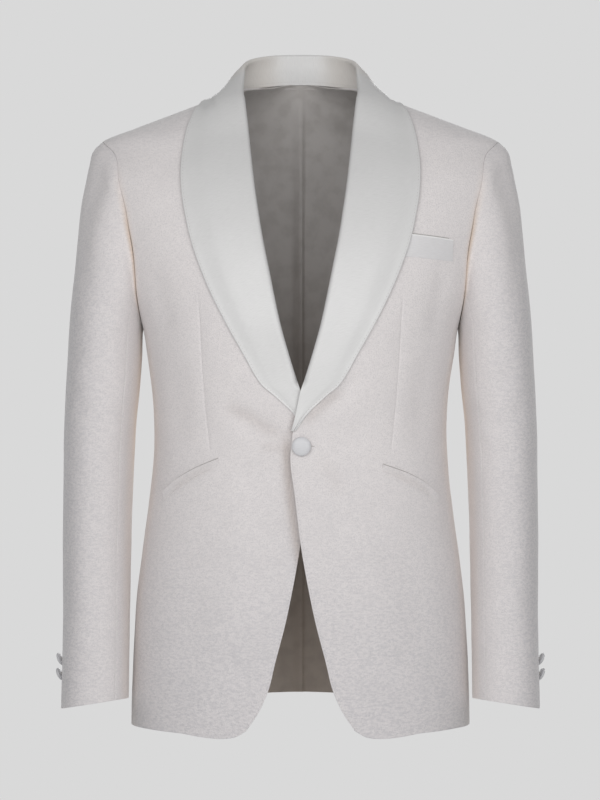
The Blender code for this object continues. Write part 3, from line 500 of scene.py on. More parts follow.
@dataclass
class ClothGrid:
    """Rows of points on a cut piece's outer face, with the face's directions and its own UV map."""

    points: Array
    normals: Array
    uv: Array = field(init=False)

    def __post_init__(self) -> None:
        """Lays the piece out flat, in metres, as its UV map."""
        across = np.linalg.norm(np.diff(self.points, axis=1), axis=-1)
        down = np.linalg.norm(np.diff(self.points, axis=0), axis=-1)
        u, v = np.zeros(self.points.shape[:2]), np.zeros(self.points.shape[:2])
        u[:, 1:] = np.cumsum(across, axis=1)
        v[1:] = np.cumsum(down, axis=0)
        self.uv = np.stack([u - u[:, -1:] / 2, v], axis=-1)

    @classmethod
    def on_body(cls, points: Array) -> "ClothGrid":
        """A piece whose face looks out of the body's surface."""
        return cls(points, BODY.outward(points))

    def moved(self, points: Array, normals: Array | None = None) -> "ClothGrid":
        """The same piece at other points, laid out flat as before."""
        made = ClothGrid(points, self.normals if normals is None else normals)
        made.uv = self.uv
        return made

    def cut(self) -> Cut:
        """The flat piece: its widest row, its longest column and its area, to a millimetre or so."""
        across = np.linalg.norm(np.diff(self.points, axis=1), axis=-1).sum(axis=1).max()
        down = np.linalg.norm(np.diff(self.points, axis=0), axis=-1).sum(axis=0).max()
        first = self.points[1:, 1:] - self.points[:-1, :-1]
        second = self.points[1:, :-1] - self.points[:-1, 1:]
        area = float(np.linalg.norm(np.cross(first, second), axis=-1).sum() / 2)
        width, length = math.ceil(across * 1000) / 1000, math.ceil(down * 1000) / 1000
        return Cut(width, length, round(min(area, width * length), 4))

    def sunk(self, depth: Array | float) -> "ClothGrid":
        """The same piece, sunk by these depths."""
        return self.moved(self.points - self.normals * depth)

    def mirrored(self) -> "ClothGrid":
        """The same piece for the wearer's right side."""
        return self.moved(self.points * MIRROR, self.normals * MIRROR)

    def with_seam_dips(self, edges: str, depth: float = 0.00014, width: float = 0.0022) -> "ClothGrid":
        """The piece pressed in along its sewn edges.

        Args:
            edges: Any of b, t, l and r, for the first and last row and the first and last column.
            depth: How far the edge itself is pressed in.
            width: How far from the edge the dip has faded.

        Returns:
            The pressed piece.
        """
        rows = np.cumsum(np.linalg.norm(np.diff(self.points, axis=0), axis=-1), axis=0)
        rows = np.concatenate([np.zeros_like(rows[:1]), rows])
        columns = np.cumsum(np.linalg.norm(np.diff(self.points, axis=1), axis=-1), axis=1)
        columns = np.concatenate([np.zeros_like(columns[:, :1]), columns], axis=1)
        away = {"b": rows, "t": rows[-1:] - rows, "l": columns, "r": columns[:, -1:] - columns}
        total = sum(np.exp(-((away[edge] / width) ** 2)) for edge in edges)
        return self.sunk(depth * np.minimum(total, 1.0)[..., None])


class ShellMaker:
    """Makes a cut piece of cloth with its thickness and rounded edges out of a grid."""

    ROUNDINGS = (45.0, 90.0, 135.0)  # degrees round the cut edge, from the outer face to the inner

    def __init__(self, name: str, grid: ClothGrid, thickness: float, rounding: float = EDGE_ROUND) -> None:
        """Takes a piece's name, its outer face, its thickness and how far its edges' rounding reaches."""
        self.name, self.grid, self.thickness, self.rounding = name, grid, thickness, rounding
        self.rows, self.columns = grid.points.shape[:2]

    def _rim(self) -> Array:
        """The indices of the grid's outermost points, in order round the piece."""
        index = np.arange(self.rows * self.columns).reshape(self.rows, self.columns)
        return np.concatenate([index[0], index[1:, -1], index[-1, -2::-1], index[-2:0:-1, 0]])

    def _inward(self) -> Array:
        """At each point, the rounding's reach into the piece for the outermost ones, and 0 for the rest."""
        points = self.grid.points
        rows = np.clip(np.arange(self.rows), 1, self.rows - 2)
        columns = np.clip(np.arange(self.columns), 1, self.columns - 2)
        away = points[np.ix_(rows, columns)] - points
        distance = np.linalg.norm(away, axis=-1, keepdims=True)
        return unit(away) * np.minimum(self.rounding, 0.45 * distance)

    def make(self, finishes: Sequence[Any], inner_finish: Array | int = 0) -> Any:
        """Builds the piece.

        Args:
            finishes: The piece's materials, the first being the outer face's.
            inner_finish: The material index of the inner face, or one index for each of its faces.

        Returns:
            The new object.
        """
        grid, half = self.grid, self.thickness / 2
        normals, inward = grid.normals, self._inward()
        outer = (grid.points + inward).reshape(-1, 3)
        inner = outer - normals.reshape(-1, 3) * self.thickness
        rim = self._rim()
        at_rim = [values.reshape(-1, 3)[rim] for values in (grid.points, normals, inward)]
        rings = []
        for degrees in self.ROUNDINGS:
            turn = math.radians(degrees)
            drawn = at_rim[2] * (1 - math.sin(turn))
            rings.append(at_rim[0] + drawn - at_rim[1] * half * (1 - math.cos(turn)))
        vertices = np.concatenate([outer, *rings, inner])
        last = len(outer) + len(rim) * len(rings)
        index = np.arange(self.rows * self.columns).reshape(self.rows, self.columns)
        corners = [index[:-1, :-1], index[:-1, 1:], index[1:, 1:], index[1:, :-1]]
        quads = np.stack([corner.ravel() for corner in corners], axis=-1)
        faces = [quads, quads[:, ::-1] + last]
        loops = [rim, *[np.arange(len(rim)) + len(outer) + k * len(rim) for k in range(len(rings))]]
        loops.append(rim + last)
        for near, far in zip(loops, loops[1:]):
            ahead = np.roll(near, -1), np.roll(far, -1)
            faces.append(np.stack([ahead[0], near, far, ahead[1]], axis=-1))
        faces = np.concatenate(faces)
        across = grid.points[:-1, 1:] - grid.points[:-1, :-1]
        down = grid.points[1:, :-1] - grid.points[:-1, :-1]
        if float(np.sum(np.cross(across, down) * normals[:-1, :-1])) < 0:
            faces = faces[:, ::-1]
        uv = grid.uv.reshape(-1, 2)
        uv = np.concatenate([uv, *[uv[rim]] * len(rings), uv])
        finish = np.zeros(len(faces), np.int32)
        finish[len(quads) : 2 * len(quads)] = inner_finish
        return dressed(self.name, vertices, faces.tolist(), uv, finishes, finish)


def linked(name: str, data: Any) -> Any:
    """A new object in the scene that shows this mesh, or is this light or camera."""
    piece = bpy.data.objects.new(name, data)
    bpy.context.scene.collection.objects.link(piece)
    return piece


def dressed(
    name: str, vertices: Array, faces: Sequence[Any], uv: Array, finishes: Sequence[Any], finish: Array
) -> Any:
    """A new smooth piece with a UV map and its finishes.

    Args:
        name: The piece's name.
        vertices: Its points.
        faces: Its faces, each by the numbers of its points.
        uv: Its flat layout, a place for each point.
        finishes: Its materials.
        finish: Each face's material, by its number in that list.

    Returns:
        The new object.
    """
    mesh = bpy.data.meshes.new(name)
    mesh.from_pydata(vertices.tolist(), [], faces)
    corner = np.empty(len(mesh.loops), np.int32)
    mesh.loops.foreach_get("vertex_index", corner)
    mesh.uv_layers.new(name="cloth").uv.foreach_set("vector", uv[corner].ravel())
    for material in finishes:
        mesh.materials.append(material)
    mesh.polygons.foreach_set("material_index", finish)
    mesh.shade_smooth()
    return linked(name, mesh)


# Seams of the body


@dataclass
class Armhole:
    """The armhole's seam: an ellipse seen from the side, lying on the body's surface.

    Columns count round it from the shoulder: 9 down the front, 5 under the arm and 9 up the back.
    """

    middle: float = 0.004
    centre_across: float = 0.2
    drop: float = 0.162
    half_depth: float = 0.078
    half_height: float = 0.106
    front_seam: float = math.radians(130.8)
    back_seam: float = math.radians(228.1)
    front_rows: int = 9
    under_columns: int = 5

    @property
    def under_end(self) -> int:
        """The column where the part under the arm ends."""
        return self.front_rows + self.under_columns

    @property
    def columns(self) -> int:
        """The number of columns all round."""
        return 2 * self.front_rows + self.under_columns

    def angle(self, column: Any) -> Array:
        """The angle from the shoulder at a column."""
        keys = [0, self.front_rows, self.under_end, self.columns]
        return np.interp(column, keys, [0.0, self.front_seam, self.back_seam, 2 * math.pi])

    def point(self, angle: Any) -> Array:
        """The seam's points at these angles."""
        y = self.middle - self.half_depth * np.sin(angle)
        return BODY.on_side(y, self.drop - self.half_height * np.cos(angle))

    def across(self, angle: Any) -> Array:
        """Unit vectors in the cloth's surface from the seam into the armhole."""
        points = self.point(angle)
        step = 1e-3
        tangent = self.point(np.asarray(angle) + step) - self.point(np.asarray(angle) - step)
        across = unit(np.cross(BODY.outward(points), tangent))
        centre = np.array([self.centre_across, self.middle, -self.drop])
        return across * np.where(dot(across, centre - points) > 0, 1.0, -1.0)

    def panel_edge(self, first: int, last: int, count: int) -> Array:
        """The edge of the body's panels at the armhole, from one column to another."""
        angles = self.angle(np.linspace(first, last, count))
        return self.point(angles) - self.across(angles) * HALF_GAP


ARMHOLE = Armhole()


@dataclass
class SideSeams:
    """The side panel's two seams, as drop, front seam's Y and back seam's Y."""

    rows: Rows = (
        (0.2313, -0.0550, 0.0621),
        (0.3000, -0.0480, 0.0560),
        (0.3850, -0.0400, 0.0500),
        (0.4700, -0.0430, 0.0520),
        (0.6000, -0.0490, 0.0580),
        (0.7176, -0.0520, 0.0620),
    )
    front_hem: float = 0.7176
    back_hem: float = 0.7120
    steps: int = 15  # of the seam's rows; the armhole's rows follow

    def points(self, face: Face, count: int) -> Array:
        """The points of one seam from the hem up to the armhole.

        Args:
            face: Front for the panel's front seam, back for its back seam.
            count: The number of steps between them.

        Returns:
            One more point than that.
        """
        front = face is Face.FRONT
        top = ARMHOLE.point(ARMHOLE.front_seam if front else ARMHOLE.back_seam)
        drops = np.linspace(self.front_hem if front else self.back_hem, -top[2], count + 1)
        y = Track(self.rows).at(drops)[:, 0 if front else 1]
        points = BODY.on_side(y, drops)
        points[-1] = top
        return points

    def panel_edge(self, face: Face) -> Array:
        """The outer edge of a front or a back: its side seam, then the armhole up to the shoulder."""
        front = face is Face.FRONT
        side = self.points(face, self.steps * SEAM_LINES)
        side = side + BODY.across_seam(side, BACKWARDS) * HALF_GAP * face.value
        first, last = (ARMHOLE.front_rows, 0) if front else (ARMHOLE.under_end, ARMHOLE.columns)
        arm = ARMHOLE.panel_edge(first, last, ARMHOLE.front_rows * SEAM_LINES + 1)
        edge = np.concatenate([side, arm[1:]])
        edge[-1, 1] += HALF_GAP * face.value
        return edge


SEAMS = SideSeams()


# The body's panels


@dataclass
class Patch:
    """A piece of the body's surface between four edge lines, each evenly numbered from 0 to 1."""

    bottom: Array
    top: Array
    left: Array
    right: Array

    @staticmethod
    def _along(line: Array, share: Array) -> Array:
        """Points at these shares of a line's numbering."""
        keys = np.linspace(0, 1, len(line))
        return np.stack([np.interp(share, keys, line[:, axis]) for axis in range(3)], axis=-1)

    def at(self, u: Array, v: Array) -> Array:
        """The patch's points.

        Args:
            u: Shares across, one a point, from the left edge to the right.
            v: Shares up, one a point, from the bottom edge to the top.

        Returns:
            Points of the same shape, laid on the body inside the edges.
        """
        across, up = u[..., None], v[..., None]
        lofts = (1 - up) * self._along(self.bottom, u) + up * self._along(self.top, u)
        lofts = lofts + (1 - across) * self._along(self.left, v) + across * self._along(self.right, v)
        low = (1 - across) * self.bottom[0] + across * self.bottom[-1]
        high = (1 - across) * self.top[0] + across * self.top[-1]
        points = lofts - (1 - up) * low - up * high
        laid = BODY.on_skin(points)
        inside = (u > 0) & (u < 1) & (v > 0) & (v < 1)
        return np.where(inside[..., None], laid, points)


@dataclass
class Lap:
    """How the right front sinks behind the left one near the button."""

    depth: float = 0.0066
    drops: Four = (0.240, 0.338, 0.515, 0.640)
    across: Pair = (0.016, 0.080)

    def sink(self, grid: ClothGrid) -> ClothGrid:
        """The right-hand piece, sunk where it passes behind."""
        share = hump(self.drops, -grid.points[..., 2]) * (1 - ease(*self.across, -grid.points[..., 0]))
        return grid.moved(grid.points + BACKWARDS * (self.depth * share)[..., None])


LAP = Lap()


def crease_on_body(crease: Crease, numbers: Array) -> Array:
    """A body crease's points, from across and drop."""
    return BODY.on_front(numbers[:, 0], numbers[:, 1], face=crease.face)


@dataclass
class CollarTables:
    """The shawl collar's sections, round the neck and down the fronts.

    Neck rows hold the fold's X, Y and drop, the outer edge's across and drop, and the neck seam's
    X, Y and drop. Lapel rows hold the roll line's across and drop, the outer edge's across and
    drop, the degrees that the cloth folds through, how far it turns in, and the edge's lift.
    """

    neck: Rows = (
        (0.0000, 0.0756, -0.0517, 0.0000, -0.0020, 0.0000, 0.0716, -0.0160),
        (0.0305, 0.0700, -0.0502, 0.0450, 0.0020, 0.0281, 0.0668, -0.0143),
        (0.0535, 0.0505, -0.0440, 0.0800, 0.0070, 0.0519, 0.0535, -0.0098),
        (0.0627, 0.0294, -0.0350, 0.1000, 0.0100, 0.0670, 0.0330, -0.0055),
        (0.0640, 0.0110, -0.0225, 0.1081, 0.0114, 0.0705, 0.0100, -0.0030),
    )
    lapel: Rows = (
        (0.0646, 0.0000, 0.1155, 0.0200, 180, 0.006, 0.0030),
        (0.0626, 0.0120, 0.1215, 0.0320, 180, 0.006, 0.0031),
        (0.0604, 0.0280, 0.1276, 0.0510, 180, 0.008, 0.0034),
        (0.0575, 0.0520, 0.1312, 0.0750, 180, 0.012, 0.0038),
        (0.0545, 0.0800, 0.1325, 0.0990, 180, 0.012, 0.0042),
        (0.0506, 0.1130, 0.1306, 0.1250, 180, 0.012, 0.0042),
        (0.0459, 0.1450, 0.1265, 0.1480, 180, 0.012, 0.0042),
        (0.0410, 0.1750, 0.1200, 0.1750, 180, 0.012, 0.0042),
        (0.0350, 0.2050, 0.1097, 0.2050, 180, 0.012, 0.0042),
        (0.0288, 0.2360, 0.0970, 0.2350, 180, 0.011, 0.0040),
        (0.0214, 0.2698, 0.0800, 0.2685, 180, 0.010, 0.0038),
        (0.0125, 0.3015, 0.0620, 0.3010, 180, 0.007, 0.0034),
        (0.0050, 0.3260, 0.0448, 0.3313, 90, 0.003, 0.0030),
        (-0.0003, 0.3422, 0.0290, 0.3457, 0, 0.001, 0.0028),
        (-0.0040, 0.3620, 0.0090, 0.3642, 0, 0.001, 0.0027),
        (-0.0084, 0.3850, -0.0068, 0.3836, 0, 0.0005, 0.0023),
    )
    roll: Track = field(init=False)  # where the roll line lies across, by drop

    def __post_init__(self) -> None:
        """Makes the roll line a smooth curve."""
        self.roll = Track([(row[1], row[0]) for row in self.lapel])


COLLAR = CollarTables()


@dataclass
class Jacket:
    """What the jacket's pieces share: their finishes and the creases of the body and the sleeves."""

    finishes: dict[str, Any]
    body_creases: CreaseField
    sleeve_creases: CreaseField
    picked: list["SewnLine"] = field(default_factory=list)
    banded: list["SewnLine"] = field(default_factory=list)
    bound: list["SewnLine"] = field(default_factory=list)
    mouths: list["SewnLine"] = field(default_factory=list)

    def settle(self, grid: ClothGrid, side: Side, lapped: bool = True) -> ClothGrid:
        """Gives a left-hand body piece its side, its creases and, on the right, its lap."""
        grid = grid if side is Side.LEFT else grid.mirrored()
        depth = self.body_creases.depth_at(grid.points)
        made = grid.moved(grid.points - BODY.outward(grid.points) * depth)
        return LAP.sink(made) if side is Side.RIGHT and lapped else made

    def make_panel(self, node: str, grid: ClothGrid, inner_finish: Array | int = 1) -> None:
        """Makes a panel of cloth, lined inside."""
        maker = ShellMaker(f"{node}_cloth", grid, CLOTH)
        piece = maker.make([self.finishes["cloth"], self.finishes["lining"]], inner_finish)
        self.own(piece, Slot.CLOTH, [node], grid.cut())

    def own(self, piece: Any, slot: Slot, nodes: Sequence[str] = (), cut: Cut | None = None) -> Any:
        """Hands a finished piece to the frame.

        Args:
            piece: The object.
            slot: The record's slot that it belongs to; it is read only to leave the painted light off the
                lining's pieces.
            nodes: The solids that it stands for.
            cut: The size it was cut to, where it is a sheet of cloth.

        Returns:
            The same object.
        """
        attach(piece, "root")
        if nodes:
            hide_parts(*nodes)
        if slot is not Slot.LINING:
            PAINTED_LIGHT.lay(piece)
        LOG.info("%s: %d faces, %s", piece.name, len(piece.data.polygons), cut)
        return piece


@dataclass
class FrontPanel:
    """A front, from its cutaway edge to the side panel and from the hem to the shoulder seam."""

    edge: Rows = (  # drop and how far past the centre line
        (0.3839, -0.0082),
        (0.4015, -0.0104),
        (0.4100, -0.0112),
        (0.4600, -0.0060),
        (0.5112, 0.0003),
        (0.5550, 0.0079),
        (0.5965, 0.0166),
        (0.6376, 0.0274),
        (0.6713, 0.0361),
        (0.6940, 0.0466),
        (0.7135, 0.0598),
    )
    hem: Rows = (  # across and drop
        (0.0598, 0.7135),
        (0.0708, 0.7200),
        (0.0859, 0.7226),
        (0.1076, 0.7218),
        (0.1292, 0.7190),
        (0.1524, 0.7180),
    )
    neck_drop: float = 0.0006
    shoulder_drop: float = 0.0560
    lapel_ends: float = 0.3800
    roll_inset: float = 0.0058
    inset_ends: Pair = (0.362, 0.366)
    neck_flare: Pair = (0.030, 0.0105)
    dart_lines: Many = (0.0006, 0.0014, 0.0030)
    facing: float = 0.080  # how far in from the edge the inner face is cloth and not lining
    stitch_top: float = 0.392
    edge_top: float = 0.006
    edge_lines: int = 160
    hem_lines: int = 401
    length: float = 0.78
    beside_dart: Pair = (0.11, 0.12)  # the widths inside and outside the dart
    spacings: Pair = (0.0042, 0.0045)  # between the grid's lines, across and down

    def across_at(self, drop: Array) -> Array:
        """How far past the centre line the roll line, or below it the front's edge, lies."""
        rolled = COLLAR.roll.at(drop)[..., 0]
        return np.where(drop < self.lapel_ends, rolled, Track(self.edge).at(drop)[..., 0])

    def edge_points(self, drop: Array) -> Array:
        """The panel's own edge, which stops inside the collar's fold and swings out to the neck."""
        inset = self.roll_inset * (1 - ease(self.inset_ends[0], self.inset_ends[1], drop))
        flare = self.neck_flare[1] * (1 - ease(0, self.neck_flare[0], drop))
        return BODY.on_front(self.across_at(drop) + inset + flare, drop)

    def shoulder(self, shares: Array) -> Array:
        """The shoulder seam's points from the neck outwards."""
        drops = self.neck_drop + (self.shoulder_drop - self.neck_drop) * shares
        return BODY.on_front(np.ones_like(drops), drops)

    def patch(self) -> Patch:
        """The panel between its four seams and edges."""
        lateral = SEAMS.panel_edge(Face.FRONT)
        drops = np.linspace(self.edge[-1][0], self.edge_top, self.edge_lines)
        neck = BODY.on_front(1.0, self.neck_drop)
        medial = spaced_like([*self.edge_points(drops), neck], lateral)
        hem = [BODY.on_front(across, drop) for across, drop in self.hem] + [lateral[0]]
        shares = np.linspace(0, 1, self.hem_lines)
        bottom, top = through(hem, shares), self.shoulder(shares)
        top[:, 1] -= HALF_GAP
        bottom[-1], top[-1] = lateral[0], lateral[-1]
        medial[0], medial[-1] = bottom[0], top[0]
        return Patch(bottom, top, medial, lateral)

    def grid(self) -> ClothGrid:
        """The left front's grid, whose columns bunch along the dart."""
        patch = self.patch()
        v = bunched(self.length, self.spacings[1])
        coarse = np.linspace(0, 1, 161)
        u, rows = np.meshgrid(coarse, v)
        probe = patch.at(u, rows)
        dart_x = Track(DART).at(-probe[..., 2])[..., 0]
        gap = probe[..., 0] - dart_x
        dart_u = np.array([np.interp(0.0, line, coarse) for line in gap])
        width = np.linalg.norm(np.diff(probe, axis=1), axis=-1).sum(axis=1)
        inner, outer = (bunched(wide, self.spacings[0]) for wide in self.beside_dart)
        lines = np.array(self.dart_lines)
        columns = []
        for at, wide in zip(dart_u, width):
            near = lines / wide
            low, high = inner * (at - near[-1]), at + near[-1] + outer * (1 - at - near[-1])
            middle = np.concatenate([at - near[-2::-1], [at], at + near[:-1]])
            columns.append(np.concatenate([low, middle, high]))
        u = np.array(columns)
        return ClothGrid.on_body(patch.at(u, np.broadcast_to(v[:, None], u.shape)))

    def build(self, jacket: Jacket, side: Side) -> None:
        """Makes one front."""
        grid = jacket.settle(self.grid(), side).with_seam_dips("tr")
        within = np.abs(grid.uv[..., 0] - grid.uv[:, :1, 0])[:-1, :-1]
        lined = np.where(within < self.facing, 0, 1).ravel()
        jacket.make_panel(f"front_{side.word}", grid, lined)
        below = int(np.argmin(np.abs(-grid.points[:, 0, 2] - self.stitch_top)))
        jacket.picked.append(SewnLine.beside(grid, False, PICK_INSET, slice(1, below)))
        if side is Side.LEFT:
            jacket.bound.append(buttonhole_line(grid))


@dataclass
class BackPanel:
    """Half the back, from the centre back seam to the side panel, and its lining."""

    hem: Rows = ((0.0000, 0.6963), (0.0500, 0.6980), (0.1000, 0.7030), (0.1500, 0.7090))
    neck: Rows = ((0.0000, -0.0125), (0.0300, -0.0115), (0.0550, -0.0075), (0.0710, -0.0028))
    top_lines: Pair = (161, 281)  # of the neck and of the shoulder
    size: Pair = (0.23, 0.76)  # about how wide and how long it is
    lining_share: float = 7 / 11
    lining_gap: float = 0.0003
    pleat_lines: Many = (0.0012, 0.0025, 0.0040, 0.0060, 0.0090)
    plain_share: float = 0.055
    plain_lines: int = 36
    # The lining's centre pleat: its depth, and across, its slow rise, its fold and its quick fall.
    pleat_depth: float = 0.0034
    pleat: Tone = (-0.0120, 0.0014, 0.0026)
    pleat_back: Pair = (0.0024, 0.0042)
    billow: Pair = (0.0016, 0.12)
    neck_fade: Pair = (-0.0130, 0.0300)  # the drops over which pleat and billow start
    # How far it rises into the collar's stand, and across, where each rise starts to fade and ends.
    lining_rise: Rows = ((0.0034, 0.060, 0.075), (0.0024, 0.026, 0.060))

    def patch(self) -> Patch:
        """The panel between its four seams and edges."""
        front = FrontPanel()
        lateral = SEAMS.panel_edge(Face.BACK)
        drops = np.linspace(self.hem[0][1], self.neck[0][1], front.edge_lines)
        centre = spaced_like(BODY.on_front(np.zeros_like(drops), drops, face=Face.BACK), lateral)
        neck = [BODY.on_front(across, drop, face=Face.BACK) for across, drop in self.neck]
        neck.append(BODY.on_front(1.0, front.neck_drop))
        neck = through(neck, np.linspace(0, 1, self.top_lines[0]))
        shoulder = front.shoulder(np.linspace(0, 1, self.top_lines[1]))
        shoulder[:, 1] += HALF_GAP
        top = np.concatenate([neck[:-1], shoulder])
        hem = [BODY.on_front(across, drop, face=Face.BACK) for across, drop in self.hem]
        bottom = through([*hem, lateral[0]], np.linspace(0, 1, len(top)))
        bottom[-1], top[-1] = lateral[0], lateral[-1]
        centre[0], centre[-1] = bottom[0], top[0]
        for edge in (bottom, top, centre):
            edge[:, 0] = np.maximum(edge[:, 0], HALF_GAP)
        return Patch(bottom, top, centre, lateral)

    def build(self, jacket: Jacket, side: Side) -> None:
        """Makes half the back."""
        u, v = bunched(self.size[0], 0.0043), bunched(self.size[1], 0.0045)
        grid = ClothGrid.on_body(self.patch().at(*np.meshgrid(u, v)))
        grid = jacket.settle(grid, side, lapped=False).with_seam_dips("tlr")
        jacket.make_panel(f"back_{side.word}", grid)

    def build_lining(self, jacket: Jacket) -> None:
        """Makes the back lining in one piece, with a pleat down its centre."""
        v = bunched(self.size[1], 0.0050, NEAR_EDGE[:2])
        u = np.array(self.pleat_lines) / self.size[0]
        u = np.concatenate([u, np.linspace(self.plain_share, self.lining_share, self.plain_lines)])
        half = ClothGrid.on_body(self.patch().at(*np.meshgrid(u, v)))
        within = half.sunk(CLOTH + self.lining_gap)
        points = np.concatenate([within.points[:, ::-1] * MIRROR, within.points], axis=1)
        normals = np.concatenate([half.normals[:, ::-1] * MIRROR, half.normals], axis=1)
        depth = jacket.body_creases.depth_at(points)
        x, away = points[..., 0], np.abs(points[..., 0])
        fold = np.where(x < self.pleat[2], ease(*self.pleat[:2], x), 1 - ease(*self.pleat_back, x))
        billow = self.billow[0] * np.sin(np.clip(away / self.billow[1], 0, 1) * math.pi)
        below_neck = ease(*self.neck_fade, -points[..., 2])
        fullness = (self.pleat_depth * fold + billow) * below_neck
        points = points - normals * (depth + fullness[..., None])
        rise = sum(height * (1 - ease(start, end, away)) for height, start, end in self.lining_rise)
        upwards = unit(np.array([0.0, 0.0, 1.0]) - normals * normals[..., 2:])
        points = points + upwards * (rise * (1 - below_neck))[..., None]
        grid = ClothGrid(points, normals)
        piece = ShellMaker("back_lining", grid, LINING, 0.0004).make([jacket.finishes["lining"]])
        jacket.own(piece, Slot.LINING, ["lining_left", "lining_right"], grid.cut())


@dataclass
class SidePanel:
    """The narrow panel under the arm."""

    seam_lines: int = 300
    hem_lines: int = 101
    size: Pair = (0.115, 0.49)  # about how wide and how long it is

    def build(self, jacket: Jacket, side: Side) -> None:
        """Makes one side panel."""
        front, back = (SEAMS.points(face, self.seam_lines) for face in Face)
        top = ARMHOLE.panel_edge(ARMHOLE.front_rows, ARMHOLE.under_end, self.hem_lines)
        front = front + BODY.across_seam(front, BACKWARDS) * HALF_GAP
        back = back - BODY.across_seam(back, BACKWARDS) * HALF_GAP
        middle = BODY.on_side(0.0, SEAMS.front_hem)
        bottom = through([front[0], middle, back[0]], np.linspace(0, 1, self.hem_lines))
        bottom = BODY.on_side(bottom[:, 1], -bottom[:, 2])
        front[-1], back[-1], bottom[0], bottom[-1] = top[0], top[-1], front[0], back[0]
        u, v = bunched(self.size[0], 0.0045), bunched(self.size[1], 0.0048)
        grid = ClothGrid.on_body(Patch(bottom, top, front, back).at(*np.meshgrid(u, v)))
        grid = jacket.settle(grid, side, lapped=False).with_seam_dips("tlr")
        jacket.make_panel(f"side_{side.word}", grid)


# Sleeves


@dataclass
class Sleeve:
    """A sleeve, as slanted rings from the armhole to the cuff, cut into a top and an under piece.

    The table's columns are outer drop, outer X, inner X, inner drop, middle line, half depth and
    squareness.
    """

    rows: Rows = (
        (0.0560, 0.2245, 0.1795, 0.2680, 0.004, 0.0780, 2.00),
        (0.0640, 0.2334, 0.1799, 0.2690, 0.004, 0.0786, 2.00),
        (0.0840, 0.2402, 0.1800, 0.2705, 0.004, 0.0800, 2.04),
        (0.1030, 0.2442, 0.1801, 0.2720, 0.003, 0.0808, 2.08),
        (0.1300, 0.2492, 0.1802, 0.2740, 0.002, 0.0812, 2.12),
        (0.1700, 0.2533, 0.1803, 0.2770, 0.001, 0.0808, 2.15),
        (0.2100, 0.2572, 0.1804, 0.2815, 0.000, 0.0796, 2.15),
        (0.2500, 0.2612, 0.1805, 0.2895, -0.001, 0.0780, 2.15),
        (0.2900, 0.2638, 0.1809, 0.3050, -0.002, 0.0762, 2.15),
        (0.3300, 0.2662, 0.1828, 0.3350, -0.003, 0.0742, 2.15),
        (0.3760, 0.2682, 0.1868, 0.3770, -0.004, 0.0715, 2.15),
        (0.4490, 0.2690, 0.1904, 0.4490, -0.009, 0.0662, 2.15),
        (0.5390, 0.2689, 0.1924, 0.5380, -0.020, 0.0605, 2.15),
        (0.6220, 0.2679, 0.1929, 0.6180, -0.033, 0.0555, 2.15),
        (0.6975, 0.2690, 0.1936, 0.6860, -0.045, 0.0525, 2.15),
    )
    first_rings: Many = (0.0560, 0.0640, 0.0690, 0.0740)
    ring_spacing: float = 0.0048
    last_rings: Many = (0.6920, 0.6952, 0.6966, 0.6975)
    head_end: float = 0.215  # below this the rings no longer follow the armhole's own curve
    seam_rise: int = 5  # armhole columns from the side panel up to the back seam
    seam_at_cuff: float = math.radians(330.0)
    swing_drops: Pair = (0.10, 0.62)  # over which the back seam swings to its place at the cuff
    cuff_rise: float = 0.0046  # how much higher the cuff is at its front
    rise_drops: Pair = (0.5800, 0.6975)
    column_width: float = 0.0155
    crease_drops: Pair = (0.075, 0.120)  # over which the creases start below the shoulder
    right_share: float = 0.8  # how deep the right sleeve's creases are, as a share of the left's
    seam_lean: Pair = (math.cos(math.radians(80)), math.cos(math.radians(50)))
    track: Track = field(init=False)

    def __post_init__(self) -> None:
        """Makes the table a smooth curve."""
        self.track = Track(self.rows)

    @property
    def back_seam(self) -> int:
        """The column where the sleeve's back seam meets the armhole."""
        return ARMHOLE.under_end + self.seam_rise

    def angle(self, column: Array, drop: Array) -> Array:
        """The angle of a column, which swings with the back seam towards the cuff."""
        column = np.mod(column, ARMHOLE.columns)
        start, seam = ARMHOLE.front_rows, self.back_seam
        past = np.mod(column - seam, ARMHOLE.columns)
        under = (column - start) / (seam - start)
        over = 1 - past / (start + ARMHOLE.columns - seam)
        share = np.where((column >= start) & (column <= seam), under, over)
        swing = self.seam_at_cuff - float(ARMHOLE.angle(seam))
        return ARMHOLE.angle(column) + swing * share * ease(*self.swing_drops, drop)

    def ring(self, drop: Array, angle: Array) -> Array:
        """Points of the slanted rings."""
        outer_x, inner_x, inner_drop, middle, half_depth, square = np.moveaxis(self.track.at(drop), -1, 0)
        out, forward = np.cos(angle), np.sin(angle)
        out = np.sign(out) * np.abs(out) ** (2 / square)
        forward = np.sign(forward) * np.abs(forward) ** (2 / square)
        x = (outer_x + inner_x) / 2 + (outer_x - inner_x) / 2 * out
        z = -(drop + inner_drop) / 2 - (drop - inner_drop) / 2 * out
        z = z + self.cuff_rise * np.maximum(forward, 0) * ease(*self.rise_drops, drop)
        return np.stack([x, middle - half_depth * forward, z], axis=-1)

    def point(self, column: Any, drop: Any) -> Array:
        """Points of the sleeve, which near the armhole bend to the armhole's own curve."""
        column, drop = np.broadcast_arrays(np.asarray(column, float), np.asarray(drop, float))
        top = np.full_like(drop, self.rows[0][0])
        start = ARMHOLE.angle(np.mod(column, ARMHOLE.columns))
        bend = ARMHOLE.point(start) - self.ring(top, start)
        fade = 1 - ease(self.rows[0][0], self.head_end, drop)
        return self.ring(drop, self.angle(column, drop)) + bend * fade[..., None]

    def normal(self, column: Any, drop: Any) -> Array:
        """Unit vectors out of the sleeve."""
        column, drop = np.broadcast_arrays(np.asarray(column, float), np.asarray(drop, float))
        fall, turn = 2e-4, 0.02
        above = np.maximum(drop - fall, self.rows[0][0])
        down = self.point(column, drop + fall) - self.point(column, above)
        return unit(np.cross(self.point(column + turn, drop) - self.point(column - turn, drop), down))

